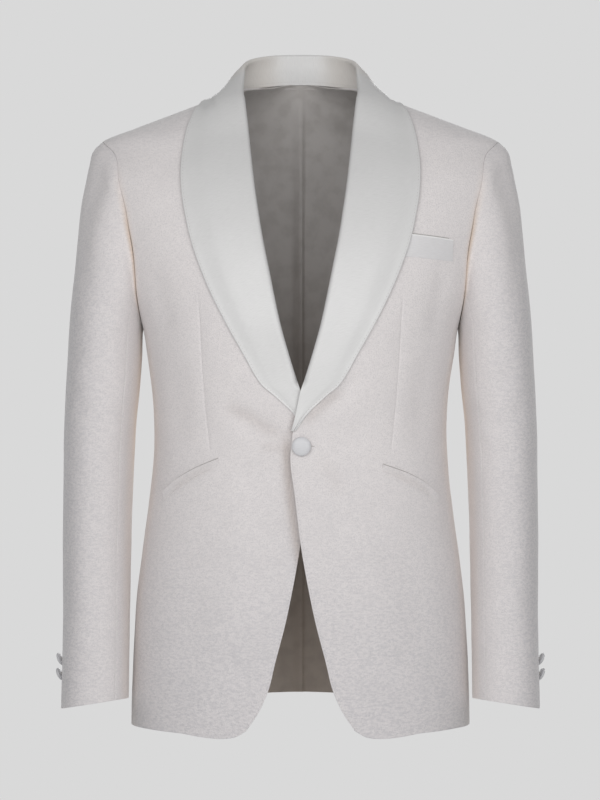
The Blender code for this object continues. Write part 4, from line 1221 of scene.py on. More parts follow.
    def start(self, column: Array) -> tuple[Array, Array]:
        """The sleeve's first points and thickness directions, clear of the armhole's edge."""
        angle = ARMHOLE.angle(np.mod(column, ARMHOLE.columns))
        seam = ARMHOLE.point(angle)
        outward, own = BODY.outward(seam), self.normal(column, self.rows[0][0])
        turn = np.maximum(-dot(own, outward), 0.0)
        away = unit(ARMHOLE.across(angle) * (1 - turn) + outward * turn)
        lean = ease(*self.seam_lean, np.cos(angle))[..., None]
        return seam + away * HALF_GAP * (1 + turn), unit(outward * lean + own * (1 - lean))

    def grid(self, first: int, last: int) -> ClothGrid:
        """The left sleeve's grid from one seam's column to another's."""
        span = self.last_rings[0] - self.first_rings[-1]
        between = np.linspace(self.first_rings[-1], self.last_rings[0], int(span / self.ring_spacing))
        drops = np.concatenate([self.first_rings[:-1], between, self.last_rings[1:]])
        columns = first + (last - first) * bunched(self.column_width * (last - first), 0.0045)
        columns, rings = np.meshgrid(columns, drops)
        points, normals = self.point(columns, rings), self.normal(columns, rings)
        points[0], started = self.start(columns[0])
        share = np.clip((rings - drops[0]) / (drops[1] - drops[0]), 0, 1)[..., None]
        normals = unit(started[None] * (1 - share) + normals * share)
        for edge, inner in ((0, 1), (-1, -2)):
            points[:, edge] += unit(points[:, inner] - points[:, edge]) * HALF_GAP
        return ClothGrid(points, normals)

    def crease_place(self, numbers: Array) -> Array:
        """A crease's points on the left sleeve, from degrees round it and drop."""
        return self.ring(numbers[:, 1], np.radians(numbers[:, 0]))

    def build(self, jacket: Jacket, side: Side) -> None:
        """Makes one sleeve's two pieces."""
        start, seam = ARMHOLE.front_rows, self.back_seam
        for word, first, last in (("under", start, seam), ("top", seam, start + ARMHOLE.columns)):
            grid = self.grid(first, last)
            depth = jacket.sleeve_creases.depth_at(grid.points)
            if side is Side.RIGHT:
                depth = depth * self.right_share
            depth = depth * ease(*self.crease_drops, -grid.points[..., 2])[..., None]
            grid = grid.sunk(depth).with_seam_dips("lr")
            grid = grid if side is Side.LEFT else grid.mirrored()
            jacket.make_panel(f"sleeve_{word}_{side.word}", grid)


SLEEVE = Sleeve()


# The collar


@dataclass
class ShawlCollar:
    """The satin collar: its stand round the neck, its fold, and the leaf down to the button."""

    fold_radius: float = 0.0050
    neck_fold_radius: float = 0.0026
    flat_fold: float = 0.0022  # length of the fold's strip where the collar lies flat
    flat_rise: float = 0.0027  # height of the outer face where it lies flat
    neck_turn: float = 0.016
    neck_lift: float = 0.0030
    leaf_pull: float = 0.5  # share of the leaf's width over which it leaves its fold and its edge
    rows_each_step: int = 9
    band_rows: int = 38  # rows either side of the centre back that show their neck band
    end_ways: Tone = (0.10, 0.05, 0.02)  # rows close to its end at the button
    # Columns go from 0 at the neck seam over the fold to 14 at the outer edge.
    fold_start: int = 3
    leaf_start: int = 7
    outer_edge: int = 14
    turn_in: Many = (0.0, 0.16, 0.5, 1.0, 1.5, 2.0, 2.5)
    fold: Many = tuple(3 + 4 * k / 11 for k in range(11))
    leaf: Many = (*(7 + 0.2 * k for k in range(1, 34)), 13.72, 13.84, 13.92, 14.0)
    seam_pull: float = 0.45  # share of the way to the neck seam that leaves the fold straight
    fullness: float = 0.0005  # of the leaf's turned edge, over the hollow beside it
    full_columns: Four = (11.5, 13.2, 13.4, 13.9)
    roll: Track = field(init=False)
    edge: Track = field(init=False)
    seam: Track = field(init=False)
    sizes: Track = field(init=False)

    def __post_init__(self) -> None:
        """Makes smooth curves of the collar's roll, outer edge, neck seam and small sizes."""
        roll, edge, seam, sizes = [], [], [], []
        for index, row in enumerate(COLLAR.neck):
            fold_x, fold_y, fold_drop, across, drop, seam_x, seam_y, seam_drop = row
            roll.append((index, fold_x, fold_y, -fold_drop))
            edge.append((index, *BODY.on_front(across, drop, self.neck_lift, Face.BACK)))
            seam.append((index, seam_x, seam_y, -seam_drop))
            sizes.append((index, 180.0, self.neck_turn, self.neck_lift, 1.0))
        for index, row in enumerate(COLLAR.lapel, len(COLLAR.neck)):
            roll_across, roll_drop, across, drop, wrap, turn_in, lift = row
            roll.append((index, *BODY.on_front(roll_across, roll_drop)))
            edge.append((index, *BODY.on_front(across, drop, lift)))
            seam.append((index, *seam[-1][1:]))
            sizes.append((index, wrap, turn_in, lift, 0.0))
        self.roll, self.edge, self.seam, self.sizes = (Track(rows) for rows in (roll, edge, seam, sizes))

    @staticmethod
    def _swept(fold: Array, wrap: Array, share: Any) -> tuple[Array, Array]:
        """How far forward and down a share of the fold's strip takes it, bent through wrap in all."""
        bend = np.maximum(wrap, 1e-3) / fold
        angle = bend * fold * share
        return np.sin(angle) / bend, (1 - np.cos(angle)) / bend

    def points(self, ways: Array, columns: Sequence[float]) -> Array:
        """Points of the collar's left half.

        Args:
            ways: Rows of the tables, from 0 at the centre back to the last at the button.
            columns: The columns, from the neck seam to the outer edge.

        Returns:
            The points, a row for each way.
        """
        wrap, turn_in, edge_lift, at_neck = (value[..., None] for value in self.sizes.at(ways).T)
        wrap = np.radians(np.clip(wrap, 0.0, 180.0))
        at_neck = np.clip(at_neck, 0.0, 1.0)
        roll, edge = self.roll.at(ways), self.edge.at(ways)
        along = unit(self.roll.at(ways + 0.05) - self.roll.at(ways - 0.05))
        along = np.where(ways[:, None] < 0.05, np.array([1.0, 0.0, 0.0]), along)
        up = roll - edge
        up = unit(up - along * dot(up, along))
        out = unit(np.cross(up, along))
        share = wrap / math.pi
        radius = self.fold_radius + (self.neck_fold_radius - self.fold_radius) * at_neck
        fold = self.flat_fold + (math.pi * radius - self.flat_fold) * share
        full = radius - 0.001 * (1 - at_neck)
        rise = self.flat_rise + (full - self.flat_rise) * share
        forward, down = self._swept(fold, wrap, 1.0)
        half = self._swept(fold, wrap, np.minimum(0.5 * math.pi / np.maximum(wrap, 1e-3), 1.0))[0]
        reach = np.where(wrap > math.pi / 2, half, forward + turn_in * np.cos(wrap))
        start = roll - up * reach + out * rise
        end = start + up * forward - out * down
        tangent = up * np.cos(wrap) - out * np.sin(wrap)
        folded = end + tangent * turn_in
        seam = folded + (self.seam.at(ways) - folded) * at_neck
        normal = BODY.outward(edge)
        length = np.linalg.norm(edge - start, axis=-1, keepdims=True)
        made = []
        for column in columns:
            if column >= self.leaf_start:
                q = (column - self.leaf_start) / (self.outer_edge - self.leaf_start)
                back = start - edge
                second = edge + unit(back - normal * dot(back, normal)) * length * self.leaf_pull
                first = start - up * length * self.leaf_pull
                point = start * (1 - q) ** 3 + first * 3 * q * (1 - q) ** 2
                point = point + second * 3 * q * q * (1 - q) + edge * q**3
                least = rise + (edge_lift - rise) * q
                lift = BODY.height(point)
                soft = np.minimum(0.0015, 0.02 * length) * 4 * q * (1 - q)
                wanted = least + 0.5 * (lift - least + np.sqrt((lift - least) ** 2 + soft**2))
                made.append(point + BODY.outward(point) * (wanted - lift))
                continue
            turned = 1 - max(column - self.fold_start, 0) / (self.leaf_start - self.fold_start)
            forward, down = self._swept(fold, wrap, turned)
            point = start + up * forward - out * down
            if column < self.fold_start:
                q = 1 - column / self.fold_start
                pull = np.linalg.norm(seam - point, axis=-1, keepdims=True) * self.seam_pull
                control = point + tangent * pull
                point = point * (1 - q) ** 2 + control * 2 * q * (1 - q) + seam * q * q
            made.append(point)
        return np.stack(made, axis=1)

    def build(self, jacket: Jacket) -> None:
        """Makes the collar in one piece and keeps its outer edge's line for the stitching."""
        last = len(COLLAR.neck) + len(COLLAR.lapel) - 1
        ways = np.linspace(0, last, last * self.rows_each_step + 1)
        ways = np.unique(np.concatenate([ways, last - np.array(self.end_ways)]))
        columns = [*self.turn_in, *self.fold, *self.leaf]
        half = self.points(ways, columns)
        half[0, :, 0] = 0
        whole = np.concatenate([half[:0:-1] * MIRROR, half])
        depth = jacket.body_creases.depth_at(whole) * ease(-0.02, 0.006, -whole[..., 2])[..., None]
        depth = depth + self.fullness * hump(self.full_columns, np.array(columns)[None, :, None])
        whole = whole - BODY.outward(whole) * depth
        hint = np.zeros_like(whole)
        leaf = np.array(columns) > self.leaf_start + 1
        hint[:, leaf] = BODY.outward(whole[:, leaf])
        made = unit(np.cross(np.gradient(whole, axis=1), np.gradient(whole, axis=0)))
        made = made * math.copysign(1.0, float(np.sum(made * hint)))
        grid = ClothGrid(whole, made)
        centre = len(half) - 1
        grid.points[:centre] = LAP.sink(grid).points[:centre]
        maker = ShellMaker("shawl_satin", grid, CLOTH, 0.0010)
        piece = maker.make([jacket.finishes["satin"]])
        jacket.own(piece, Slot.SATIN, ["shawl_left", "shawl_right"], grid.cut())
        jacket.picked.append(SewnLine.beside(grid, True, PICK_INSET, slice(2, -2)))
        band = slice(centre - self.band_rows, centre + self.band_rows + 1)
        jacket.banded.append(SewnLine.beside(grid, False, BAND_INSET, band))


# Welts and buttons


@dataclass(frozen=True)
class Welt:
    """A strip of cloth on the front, as across, drop and height at each of its sections.

    Its head is how far its top edge stands off further than it has to, so that it looks down, and
    its foot is how far its sewn lower edge stands off.
    """

    name: str
    node: str
    rows: Rows
    slot: Slot
    finish: str
    head: float
    foot: float = 0.0006
    heights: Many = (0.0, 0.03, 0.08, 0.2, 0.35, 0.5, 0.65, 0.8, 0.92, 0.97, 1.0)

    def sections(self, ways: Array) -> Array:
        """Across, drop and height at these places along the welt, counted in its rows."""
        return Track([(index, *row) for index, row in enumerate(self.rows)]).at(ways).T

    def build(self, jacket: Jacket, side: Side) -> None:
        """Makes the welt on its side of the jacket."""
        last = len(self.rows) - 1
        ways = np.linspace(0, last, 15 * last + 1)
        ways = np.unique(np.concatenate([ways, [0.02, 0.06, last - 0.06, last - 0.02]]))
        across, drop, height = self.sections(ways)
        shares = np.array(self.heights)[:, None]
        grid = ClothGrid.on_body(BODY.on_front(across[None], drop[None] + height[None] * shares))
        lift = self.foot + (REST_GAP + WELT + self.head - self.foot) * (1 - shares) ** 1.5
        grid = ClothGrid(grid.points + grid.normals * lift[..., None], grid.normals)
        grid = jacket.settle(grid, side)
        maker = ShellMaker(self.name, grid, WELT, 0.0005)
        piece = maker.make([jacket.finishes[self.finish]])
        jacket.own(piece, self.slot, [self.node], grid.cut())

    def mouth(self, jacket: Jacket, side: Side) -> "SewnLine":
        """The line on the front just above the welt, where a row of dark stitches stands in for the shadow
        in the pocket's mouth.
        """
        above = np.array([[-0.0008], [0.0]])
        across, drop, _ = self.sections(np.linspace(0.06, len(self.rows) - 1.6, 90))
        grid = ClothGrid.on_body(BODY.on_front(across[None], drop[None] + above))
        grid = jacket.settle(grid, side)
        return SewnLine.along(grid.points[0], grid.normals[0])


BREAST_WELT = (
    (0.1140, 0.1676, 0.0256),
    (0.1290, 0.1690, 0.0252),
    (0.1450, 0.1706, 0.0250),
    (0.1600, 0.1722, 0.0247),
    (0.1685, 0.1734, 0.0240),
)
# The left front is drawn down a little by the lap, and its pocket with it.
HIP_WELTS = {
    Side.LEFT: (
        (0.0905, 0.4221, 0.0070),
        (0.1060, 0.4276, 0.0085),
        (0.1194, 0.4329, 0.0095),
        (0.1342, 0.4409, 0.0105),
        (0.1450, 0.4492, 0.0110),
        (0.1530, 0.4572, 0.0112),
    ),
    Side.RIGHT: (
        (0.0905, 0.4157, 0.0070),
        (0.1060, 0.4222, 0.0085),
        (0.1194, 0.4285, 0.0095),
        (0.1342, 0.4372, 0.0105),
        (0.1450, 0.4455, 0.0110),
        (0.1530, 0.4535, 0.0112),
    ),
}


@dataclass(frozen=True)
class Button:
    """A covered button: its place, the way that it faces, its radius and its shank's length."""

    node: str
    place: Array
    faces: Array
    radius: float
    shank: float

    # How far out, as a share of the radius, and how far up each point of the outline lies.
    HEAD = (
        (0.00, 0.00220), (0.14, 0.00218), (0.30, 0.00210), (0.46, 0.00196), (0.60, 0.00174),
        (0.72, 0.00144), (0.82, 0.00108), (0.90, 0.00066), (0.955, 0.00020), (0.985, -0.00025),
        (1.00, -0.00070), (0.985, -0.00112), (0.94, -0.00146), (0.88, -0.00172), (0.80, -0.00190),
        (0.60, -0.00200), (0.24, -0.00200),
    )  # fmt: skip
    STEPS = 72
    SHANK_RINGS = 4
    SHANK_RADIUS = 0.22  # as a share of the button's
    TUCKS = 18
    TUCK_DEPTH = 0.00012
    TUCK_HEIGHTS = (-0.0012, 0.0008)  # where the tucks start, and how far down they grow

    def build(self, jacket: Jacket) -> None:
        """Makes the button with its cover's small tucks underneath and its shank of thread."""
        foot = self.HEAD[-1][1]
        steps = [self.shank * k / self.SHANK_RINGS for k in range(1, self.SHANK_RINGS + 1)]
        table = np.array([*self.HEAD, *((self.SHANK_RADIUS, foot - step) for step in steps)])
        turns = np.arange(self.STEPS) * 2 * math.pi / self.STEPS
        out, up = table[1:, 0] * self.radius, table[1:, 1]
        start, growth = self.TUCK_HEIGHTS
        tucked = np.clip((start - up) / growth, 0, 1) * (table[1:, 0] > 0.5)
        tucks = self.TUCK_DEPTH * np.outer(np.cos(turns * self.TUCKS), tucked)
        rings = np.stack([np.outer(np.cos(turns), out), np.outer(np.sin(turns), out), up + tucks], -1)
        bottom = foot - self.shank
        flat = np.concatenate([[[0, 0, table[0, 1]]], rings.reshape(-1, 3), [[0, 0, bottom]]])
        side = unit(np.cross(np.array([0.0, 0.0, 1.0]), self.faces))
        basis = np.stack([side, np.cross(self.faces, side), self.faces])
        faces = self._faces(len(out))
        finish = np.array([self._on_shank(face, len(out)) for face in faces], np.int32)
        finishes = [jacket.finishes["satin"], jacket.finishes["thread"]]
        points = self.place + flat @ basis
        piece = dressed(f"{self.node}_covered", points, faces, flat[:, :2], finishes, finish)
        jacket.own(piece, Slot.SATIN, [self.node])

    def _faces(self, count: int) -> list[tuple[int, ...]]:
        """The button's faces, for a number of rings' points in each turn."""
        faces: list[tuple[int, ...]] = []
        last = self.STEPS * count + 1
        for turn in range(self.STEPS):
            here, ahead = 1 + turn * count, 1 + (turn + 1) % self.STEPS * count
            faces.append((0, here, ahead))
            faces += [(here + k, here + k + 1, ahead + k + 1, ahead + k) for k in range(count - 1)]
            faces.append((here + count - 1, last, ahead + count - 1))
        return faces

    def _on_shank(self, face: tuple[int, ...], count: int) -> bool:
        """Whether a face is part of the shank."""
        rings = [(corner - 1) % count if 0 < corner <= self.STEPS * count else None for corner in face]
        if None in rings:
            return 0 not in face
        return min(rings) > count - 2 - self.SHANK_RINGS


@dataclass(frozen=True)
class ButtonPlan:
    """Where the buttons sit, and their sizes."""

    front_across: float = 0.0010
    front_drop: float = 0.4018
    front_radius: float = 0.0105
    front_shank: float = 0.0020
    head_depth: float = 0.0020  # from a button's place down to its shank
    cuff_share: float = 0.25  # of the way round from the back seam to the outermost line
    cuff_drops: Pair = (0.6450, 0.6618)
    cuff_lift: float = 0.0062
    cuff_tilt: float = math.radians(27)
    cuff_radius: float = 0.0077
    cuff_shank: float = 0.0036

    def front(self) -> Button:
        """The button that fastens the fronts."""
        place = BODY.on_front(self.front_across, self.front_drop)
        normal = BODY.outward(place)
        place = place + normal * (REST_GAP + self.front_shank + self.head_depth)
        return Button("button_front", place, normal, self.front_radius, self.front_shank)

    def cuff(self, side: Side) -> list[Button]:
        """The two tilted buttons of one cuff."""
        column = SLEEVE.back_seam + (ARMHOLE.columns - SLEEVE.back_seam) * self.cuff_share
        mirror = np.array([float(side.value), 1.0, 1.0])
        made = []
        for number, drop in enumerate(self.cuff_drops, 1):
            normal = SLEEVE.normal(column, drop)
            place = SLEEVE.point(column, drop) + normal * self.cuff_lift
            flat = unit(normal * np.array([1.0, 1.0, 0.0]))
            axis = flat * math.cos(self.cuff_tilt) - np.array([0.0, 0.0, math.sin(self.cuff_tilt)])
            name = f"button_cuff_{side.word}_{number}"
            made.append(Button(name, place * mirror, axis * mirror, self.cuff_radius, self.cuff_shank))
        return made


BUTTONS = ButtonPlan()


# Sewing


@dataclass
class SewnLine:
    """A line of stitches: its points, the way out of the cloth and the way that each stitch lies."""

    points: Array
    outward: Array
    heading: Array

    @classmethod
    def along(cls, points: Array, outward: Array) -> "SewnLine":
        """A line whose stitches lie along it, from its points and the ways out of the cloth."""
        return cls(points, outward, unit(np.gradient(points, axis=0)))

    @classmethod
    def beside(cls, grid: ClothGrid, last: bool, away: float, rows: slice = slice(None)) -> "SewnLine":
        """A line this far in from a piece's first or last column.

        Args:
            grid: The piece's outer face.
            last: Whether it runs beside the last column.
            away: The distance from the edge.
            rows: The rows that it runs along.

        Returns:
            The line.
        """
        turn = slice(None, None, -1 if last else 1)
        both = np.concatenate([grid.points, grid.normals], axis=-1)[rows, turn]
        made = []
        for row in both:
            ways = lengths_along(row[:, :3])
            made.append([np.interp(away, ways, row[:, axis]) for axis in range(6)])
        table = np.array(made)
        return cls.along(table[:, :3], unit(table[:, 3:]))


class NodeGraph:
    """Adds nodes to a tree and joins them."""

    def __init__(self, tree: Any) -> None:
        """Takes the tree."""
        self.tree = tree

    def add(self, kind: str, inputs: dict[Any, Any] | None = None, **settings: Any) -> Any:
        """Adds one node.

        Args:
            kind: Blender's name for the kind of node.
            inputs: Values, or other nodes' outputs, for its sockets by name or number.
            **settings: The node's own settings.

        Returns:
            The node.
        """
        node = self.tree.nodes.new(kind)
        for key, value in settings.items():
            setattr(node, key, value)
        for key, value in (inputs or {}).items():
            if isinstance(value, bpy.types.NodeSocket):
                self.tree.links.new(value, node.inputs[key])
            else:
                node.inputs[key].default_value = value
        return node

    def place(self) -> Any:
        """The output that gives places on the piece."""
        return self.add("ShaderNodeTexCoord").outputs["Object"]


@dataclass(frozen=True)
class Stitching:
    """Stitches of one size, laid along lines by a Geometry Nodes tree."""

    name: str
    spacing: float
    length: float
    width: float
    height: float
    lift: float
    seed: int = 7
    slot: Slot = Slot.SATIN

    def _tree(self) -> Any:
        """The tree: it spaces points along each line and lays a rounded stitch on each."""
        tree = bpy.data.node_groups.new(f"{self.name}_tree", "GeometryNodeTree")
        sockets = {"Lines": "Geometry", "Seed": "Int", "Thread": "Material"}
        sockets |= {label: "Float" for label in ("Spacing", "Length", "Width", "Height", "Lift")}
        for label, kind in sockets.items():
            tree.interface.new_socket(label, in_out="INPUT", socket_type=f"NodeSocket{kind}")
        tree.interface.new_socket("Stitches", in_out="OUTPUT", socket_type="NodeSocketGeometry")
        graph = NodeGraph(tree)
        given = graph.add("NodeGroupInput").outputs
        curve = graph.add("GeometryNodeMeshToCurve", {0: given["Lines"]})
        spaced = graph.add(
            "GeometryNodeResampleCurve", {0: curve.outputs[0], "Length": given["Spacing"]}, mode="LENGTH"
        ).outputs[0]
        ways = []
        for label in ("outward", "heading"):
            read = graph.add("GeometryNodeInputNamedAttribute", {"Name": label}, data_type="FLOAT_VECTOR")
            ways.append(read.outputs["Attribute"])
        turned = graph.add(
            "FunctionNodeAxesToRotation",
            {"Primary Axis": ways[0], "Secondary Axis": ways[1]},
            primary_axis="Z",
            secondary_axis="X",
        )
        sides = {k: given[label] for k, label in enumerate(("Length", "Width", "Height"))}
        size = graph.add("ShaderNodeCombineXYZ", sides).outputs[0]
        half = graph.add("ShaderNodeVectorMath", {0: size, 1: (0.5, 0.5, 0.5)}, operation="MULTIPLY")
        ball = graph.add("GeometryNodeMeshUVSphere", {"Segments": 8, "Rings": 5, "Radius": 1.0})
        stitch = graph.add("GeometryNodeTransform", {0: ball.outputs[0], "Scale": half.outputs[0]})
        vary = graph.add(
            "FunctionNodeRandomValue",
            {0: (0.85, 0.85, 0.8), 1: (1.15, 1.1, 1.1), "Seed": given["Seed"]},
            data_type="FLOAT_VECTOR",
        )
        raised = graph.add("ShaderNodeVectorMath", {0: ways[0], "Scale": given["Lift"]}, operation="SCALE")
        moved = graph.add("GeometryNodeSetPosition", {0: spaced, "Offset": raised.outputs[0]})
        laid = graph.add(
            "GeometryNodeInstanceOnPoints",
            {
                "Points": moved.outputs[0],
                "Instance": stitch.outputs[0],
                "Rotation": turned.outputs[0],
                "Scale": vary.outputs[0],
            },
        )
        plain = graph.add("GeometryNodeRealizeInstances", {0: laid.outputs[0]})
        dyed = graph.add("GeometryNodeSetMaterial", {0: plain.outputs[0], "Material": given["Thread"]})
        graph.add("NodeGroupOutput", {0: dyed.outputs[0]})
        return tree

    def sew(self, jacket: Jacket, lines: Sequence[SewnLine]) -> None:
        """Makes every stitch along the lines, as one plain mesh.

        Args:
            jacket: Gives the thread and takes the piece.
            lines: The lines to sew along.
        """
        points = np.concatenate([line.points for line in lines])
        edges, start = [], 0
        for line in lines:
            edges += [(start + k, start + k + 1) for k in range(len(line.points) - 1)]
            start += len(line.points)
        guide = bpy.data.meshes.new(f"{self.name}_lines")
        guide.from_pydata(points.tolist(), edges, [])
        for label in ("outward", "heading"):
            values = np.concatenate([getattr(line, label) for line in lines])
            guide.attributes.new(label, "FLOAT_VECTOR", "POINT").data.foreach_set("vector", values.ravel())
        source = linked(f"{self.name}_guide", guide)
        modifier = source.modifiers.new("stitches", "NODES")
        modifier.node_group = self._tree()
        labels = ("Spacing", "Length", "Width", "Height", "Lift", "Seed")
        values = {label: getattr(self, label.lower()) for label in labels}
        values["Thread"] = jacket.finishes["thread"]
        for item in modifier.node_group.interface.items_tree:
            if item.name in values:
                modifier[item.identifier] = values[item.name]
        graph = bpy.context.evaluated_depsgraph_get()
        made = bpy.data.meshes.new_from_object(source.evaluated_get(graph), depsgraph=graph)
        source.modifiers.clear()
        bpy.data.objects.remove(source)
        made.name = self.name
        made.shade_smooth()
        jacket.own(linked(self.name, made), self.slot)


PICK = Stitching("pick_stitches", 0.0040, 0.00110, 0.00055, 0.00034, 0.00004)
BAND = Stitching("band_stitches", 0.0026, 0.00160, 0.00032, 0.00016, 0.00002, 11)
HOLE = Stitching("buttonhole", 0.00055, 0.0008, 0.00050, 0.00026, 0.00004, 13, Slot.CLOTH)
# Dark stitches that stand in for the shadow in the pockets' mouths.
MOUTH = Stitching("pocket_tacking", 0.0009, 0.00160, 0.00110, 0.00060, 0.00015, 17, Slot.CLOTH)


def buttonhole_line(front: ClothGrid) -> SewnLine:
    """The stitches round the buttonhole in the left front, of which the button leaves the end bare."""
    middle, half, rise = 0.0040, 0.0113, 0.0004
    turns = np.linspace(0, 2 * math.pi, 49)
    across = middle + half * np.sign(np.cos(turns)) * np.abs(np.cos(turns)) ** 0.8
    flat = BODY.on_front(across, BUTTONS.front_drop - rise * np.sin(turns))
    cloth = front.points.reshape(-1, 3)
    nearest = np.linalg.norm(cloth[None] - flat[:, None], axis=-1).argmin(axis=1)
    outward = BODY.outward(flat)
    points = flat + outward * BODY.height(cloth[nearest])
    along = unit(np.gradient(points, axis=0))
    return SewnLine(points, outward, unit(np.cross(outward, along)))


# Finishes


def wired(name: str) -> tuple[Any, NodeGraph, Any]:
    """A new material, the graph of its nodes and the shader among them."""
    material = bpy.data.materials.new(name)
    material.use_nodes = True
    graph = NodeGraph(material.node_tree)
    return material, graph, material.node_tree.nodes["Principled BSDF"]


def finished(
    graph: NodeGraph, shader: Any, colour: Any, height: Any, strength: float, distance: float
) -> None:
    """Gives a shader its colour, and a relief of this strength that is this high."""
    bump = graph.add("ShaderNodeBump", {"Strength": strength, "Distance": distance, "Height": height})
    graph.tree.links.new(bump.outputs[0], shader.inputs["Normal"])
    graph.tree.links.new(colour, shader.inputs["Base Color"])


def grain(graph: NodeGraph, place: Any, scale: float, detail: float = 2.0) -> Any:
    """A noise's output, with this many grains a metre."""
    inputs = {"Vector": place, "Scale": scale, "Detail": detail}
    return graph.add("ShaderNodeTexNoise", inputs).outputs["Fac"]


def spread(graph: NodeGraph, value: Any, low: float, high: float, top: float = 1.0) -> Any:
    """A value's smooth rise from 0 at low to top at high."""
    made = graph.add(
        "ShaderNodeMapRange",
        {"Value": value, "From Min": low, "From Max": high, "To Max": top},
        interpolation_type="SMOOTHSTEP",
    )
    return made.outputs[0]


def blended(graph: NodeGraph, share: Any, first: Any, second: Any) -> Any:
    """A colour between two, by a share from 0 to 1."""
    return graph.add("ShaderNodeMix", {0: share, 6: first, 7: second}, data_type="RGBA").outputs[2]


def multiplied(graph: NodeGraph, first: Any, second: Any) -> Any:
    """Two colours multiplied."""
    both = {0: 1.0, 6: first, 7: second}
    return graph.add("ShaderNodeMix", both, data_type="RGBA", blend_type="MULTIPLY").outputs[2]


def tinted(graph: NodeGraph, colour: Any) -> Any:
    """A colour multiplied by the piece's tint of painted light."""
    tint_with_painted_light = graph.add("ShaderNodeAttribute", attribute_name="tint_with_painted_light").outputs["Color"]
    return multiplied(graph, colour, tint_with_painted_light)


def combined(graph: NodeGraph, kind: str, first: Any, second: Any) -> Any:
    """Two numbers put together by a Math node of this kind."""
    return graph.add("ShaderNodeMath", {0: first, 1: second}, operation=kind).outputs[0]


@dataclass(frozen=True)
class NappedCloth:
    """Ivory cloth with a short soft nap and its own mottle, mixed towards a lilac grey by the piece's share
    of painted shade, and multiplied by its tint of painted light.
    """

    name: str = "napped_ivory_cloth"
    hair: Colour = (0.805, 0.767, 0.763, 1)
    ground: Colour = (0.665, 0.637, 0.640, 1)
    # The lilac grey of the painted shade, darkest on the sleeves' outer sides.
    brushed: Colour = (0.400, 0.400, 0.436, 1)
    streak: Colour = (0.745, 0.714, 0.714, 1)
    roughness: float = 0.86
    sheen: float = 0.55

    def make(self) -> Any:
        """Builds the material."""
        material, graph, shader = wired(self.name)
        place = graph.place()
        fine, speck = grain(graph, place, 1900), grain(graph, place, 760, 3)
        clouds = grain(graph, place, 26, 4)
        flat = graph.add("ShaderNodeMapping", {"Vector": place, "Scale": (0.45, 0.45, 1.0)}).outputs[0]
        rows, curls = grain(graph, flat, 420, 2), grain(graph, flat, 450, 5)
        colour = blended(graph, spread(graph, speck, 0.46, 0.66, 0.75), self.hair, self.ground)
        colour = blended(graph, spread(graph, rows, 0.50, 0.68, 0.35), colour, self.streak)
        colour = blended(graph, spread(graph, clouds, 0.42, 0.68, 0.16), colour, self.ground)
        colour = blended(graph, spread(graph, curls, 0.42, 0.64, 0.22), colour, self.ground)
        # Painted shade: the piece's share, broken up by the hairs' mottle, mixes the colour towards the
        # painted shade's lilac grey; then the tint of painted light multiplies it.
        shade = graph.add("ShaderNodeAttribute", attribute_name="nap_shade").outputs["Fac"]
        hairs = combined(graph, "MULTIPLY", spread(graph, fine, 0.40, 0.60), 0.45)
        hairs = combined(graph, "ADD", hairs, spread(graph, curls, 0.36, 0.64, 0.50))
        brushed = combined(graph, "MULTIPLY", shade, combined(graph, "MAXIMUM", hairs, 0.3))
        colour = tinted(graph, blended(graph, brushed, colour, self.brushed))
        nap = combined(graph, "ADD", fine, combined(graph, "MULTIPLY", speck, 1.4))
        finished(graph, shader, colour, nap, 0.55, 0.0005)
        shader.inputs["Roughness"].default_value = self.roughness
        shader.inputs["Sheen Weight"].default_value = self.sheen
        shader.inputs["Sheen Roughness"].default_value = 0.45
        shader.inputs["Specular IOR Level"].default_value = 0.25
        return material


@dataclass(frozen=True)
class Satin:
    """Ivory satin: a close weave of floating threads that gives broad soft lights."""

    name: str = "ivory_satin_weave"
    bright: Colour = (0.775, 0.771, 0.767, 1)
    dull: Colour = (0.710, 0.705, 0.700, 1)
    roughness: Pair = (0.34, 0.46)

    def make(self) -> Any:
        """Builds the material."""
        material, graph, shader = wired(self.name)
        cloth = graph.add("ShaderNodeUVMap", uv_map="cloth").outputs[0]
        floats = graph.add("ShaderNodeMapping", {"Vector": cloth, "Scale": (1.0, 0.09, 1.0)}).outputs[0]
        ribs = graph.add("ShaderNodeMapping", {"Vector": cloth, "Scale": (0.05, 1.0, 1.0)}).outputs[0]
        threads, wefts = grain(graph, floats, 5200, 1), grain(graph, ribs, 2400, 2)
        slow = grain(graph, graph.place(), 34, 3)
        colour = blended(graph, spread(graph, wefts, 0.38, 0.66, 0.7), self.bright, self.dull)
        low, high = self.roughness
        rough = graph.add("ShaderNodeMapRange", {"Value": slow, "To Min": low, "To Max": high})
        graph.tree.links.new(rough.outputs[0], shader.inputs["Roughness"])
        weave = combined(graph, "ADD", threads, combined(graph, "MULTIPLY", wefts, 0.8))
        finished(graph, shader, tinted(graph, colour), weave, 0.22, 0.00016)
        shader.inputs["Sheen Weight"].default_value = 0.10
        shader.inputs["Specular IOR Level"].default_value = 0.5
        return material


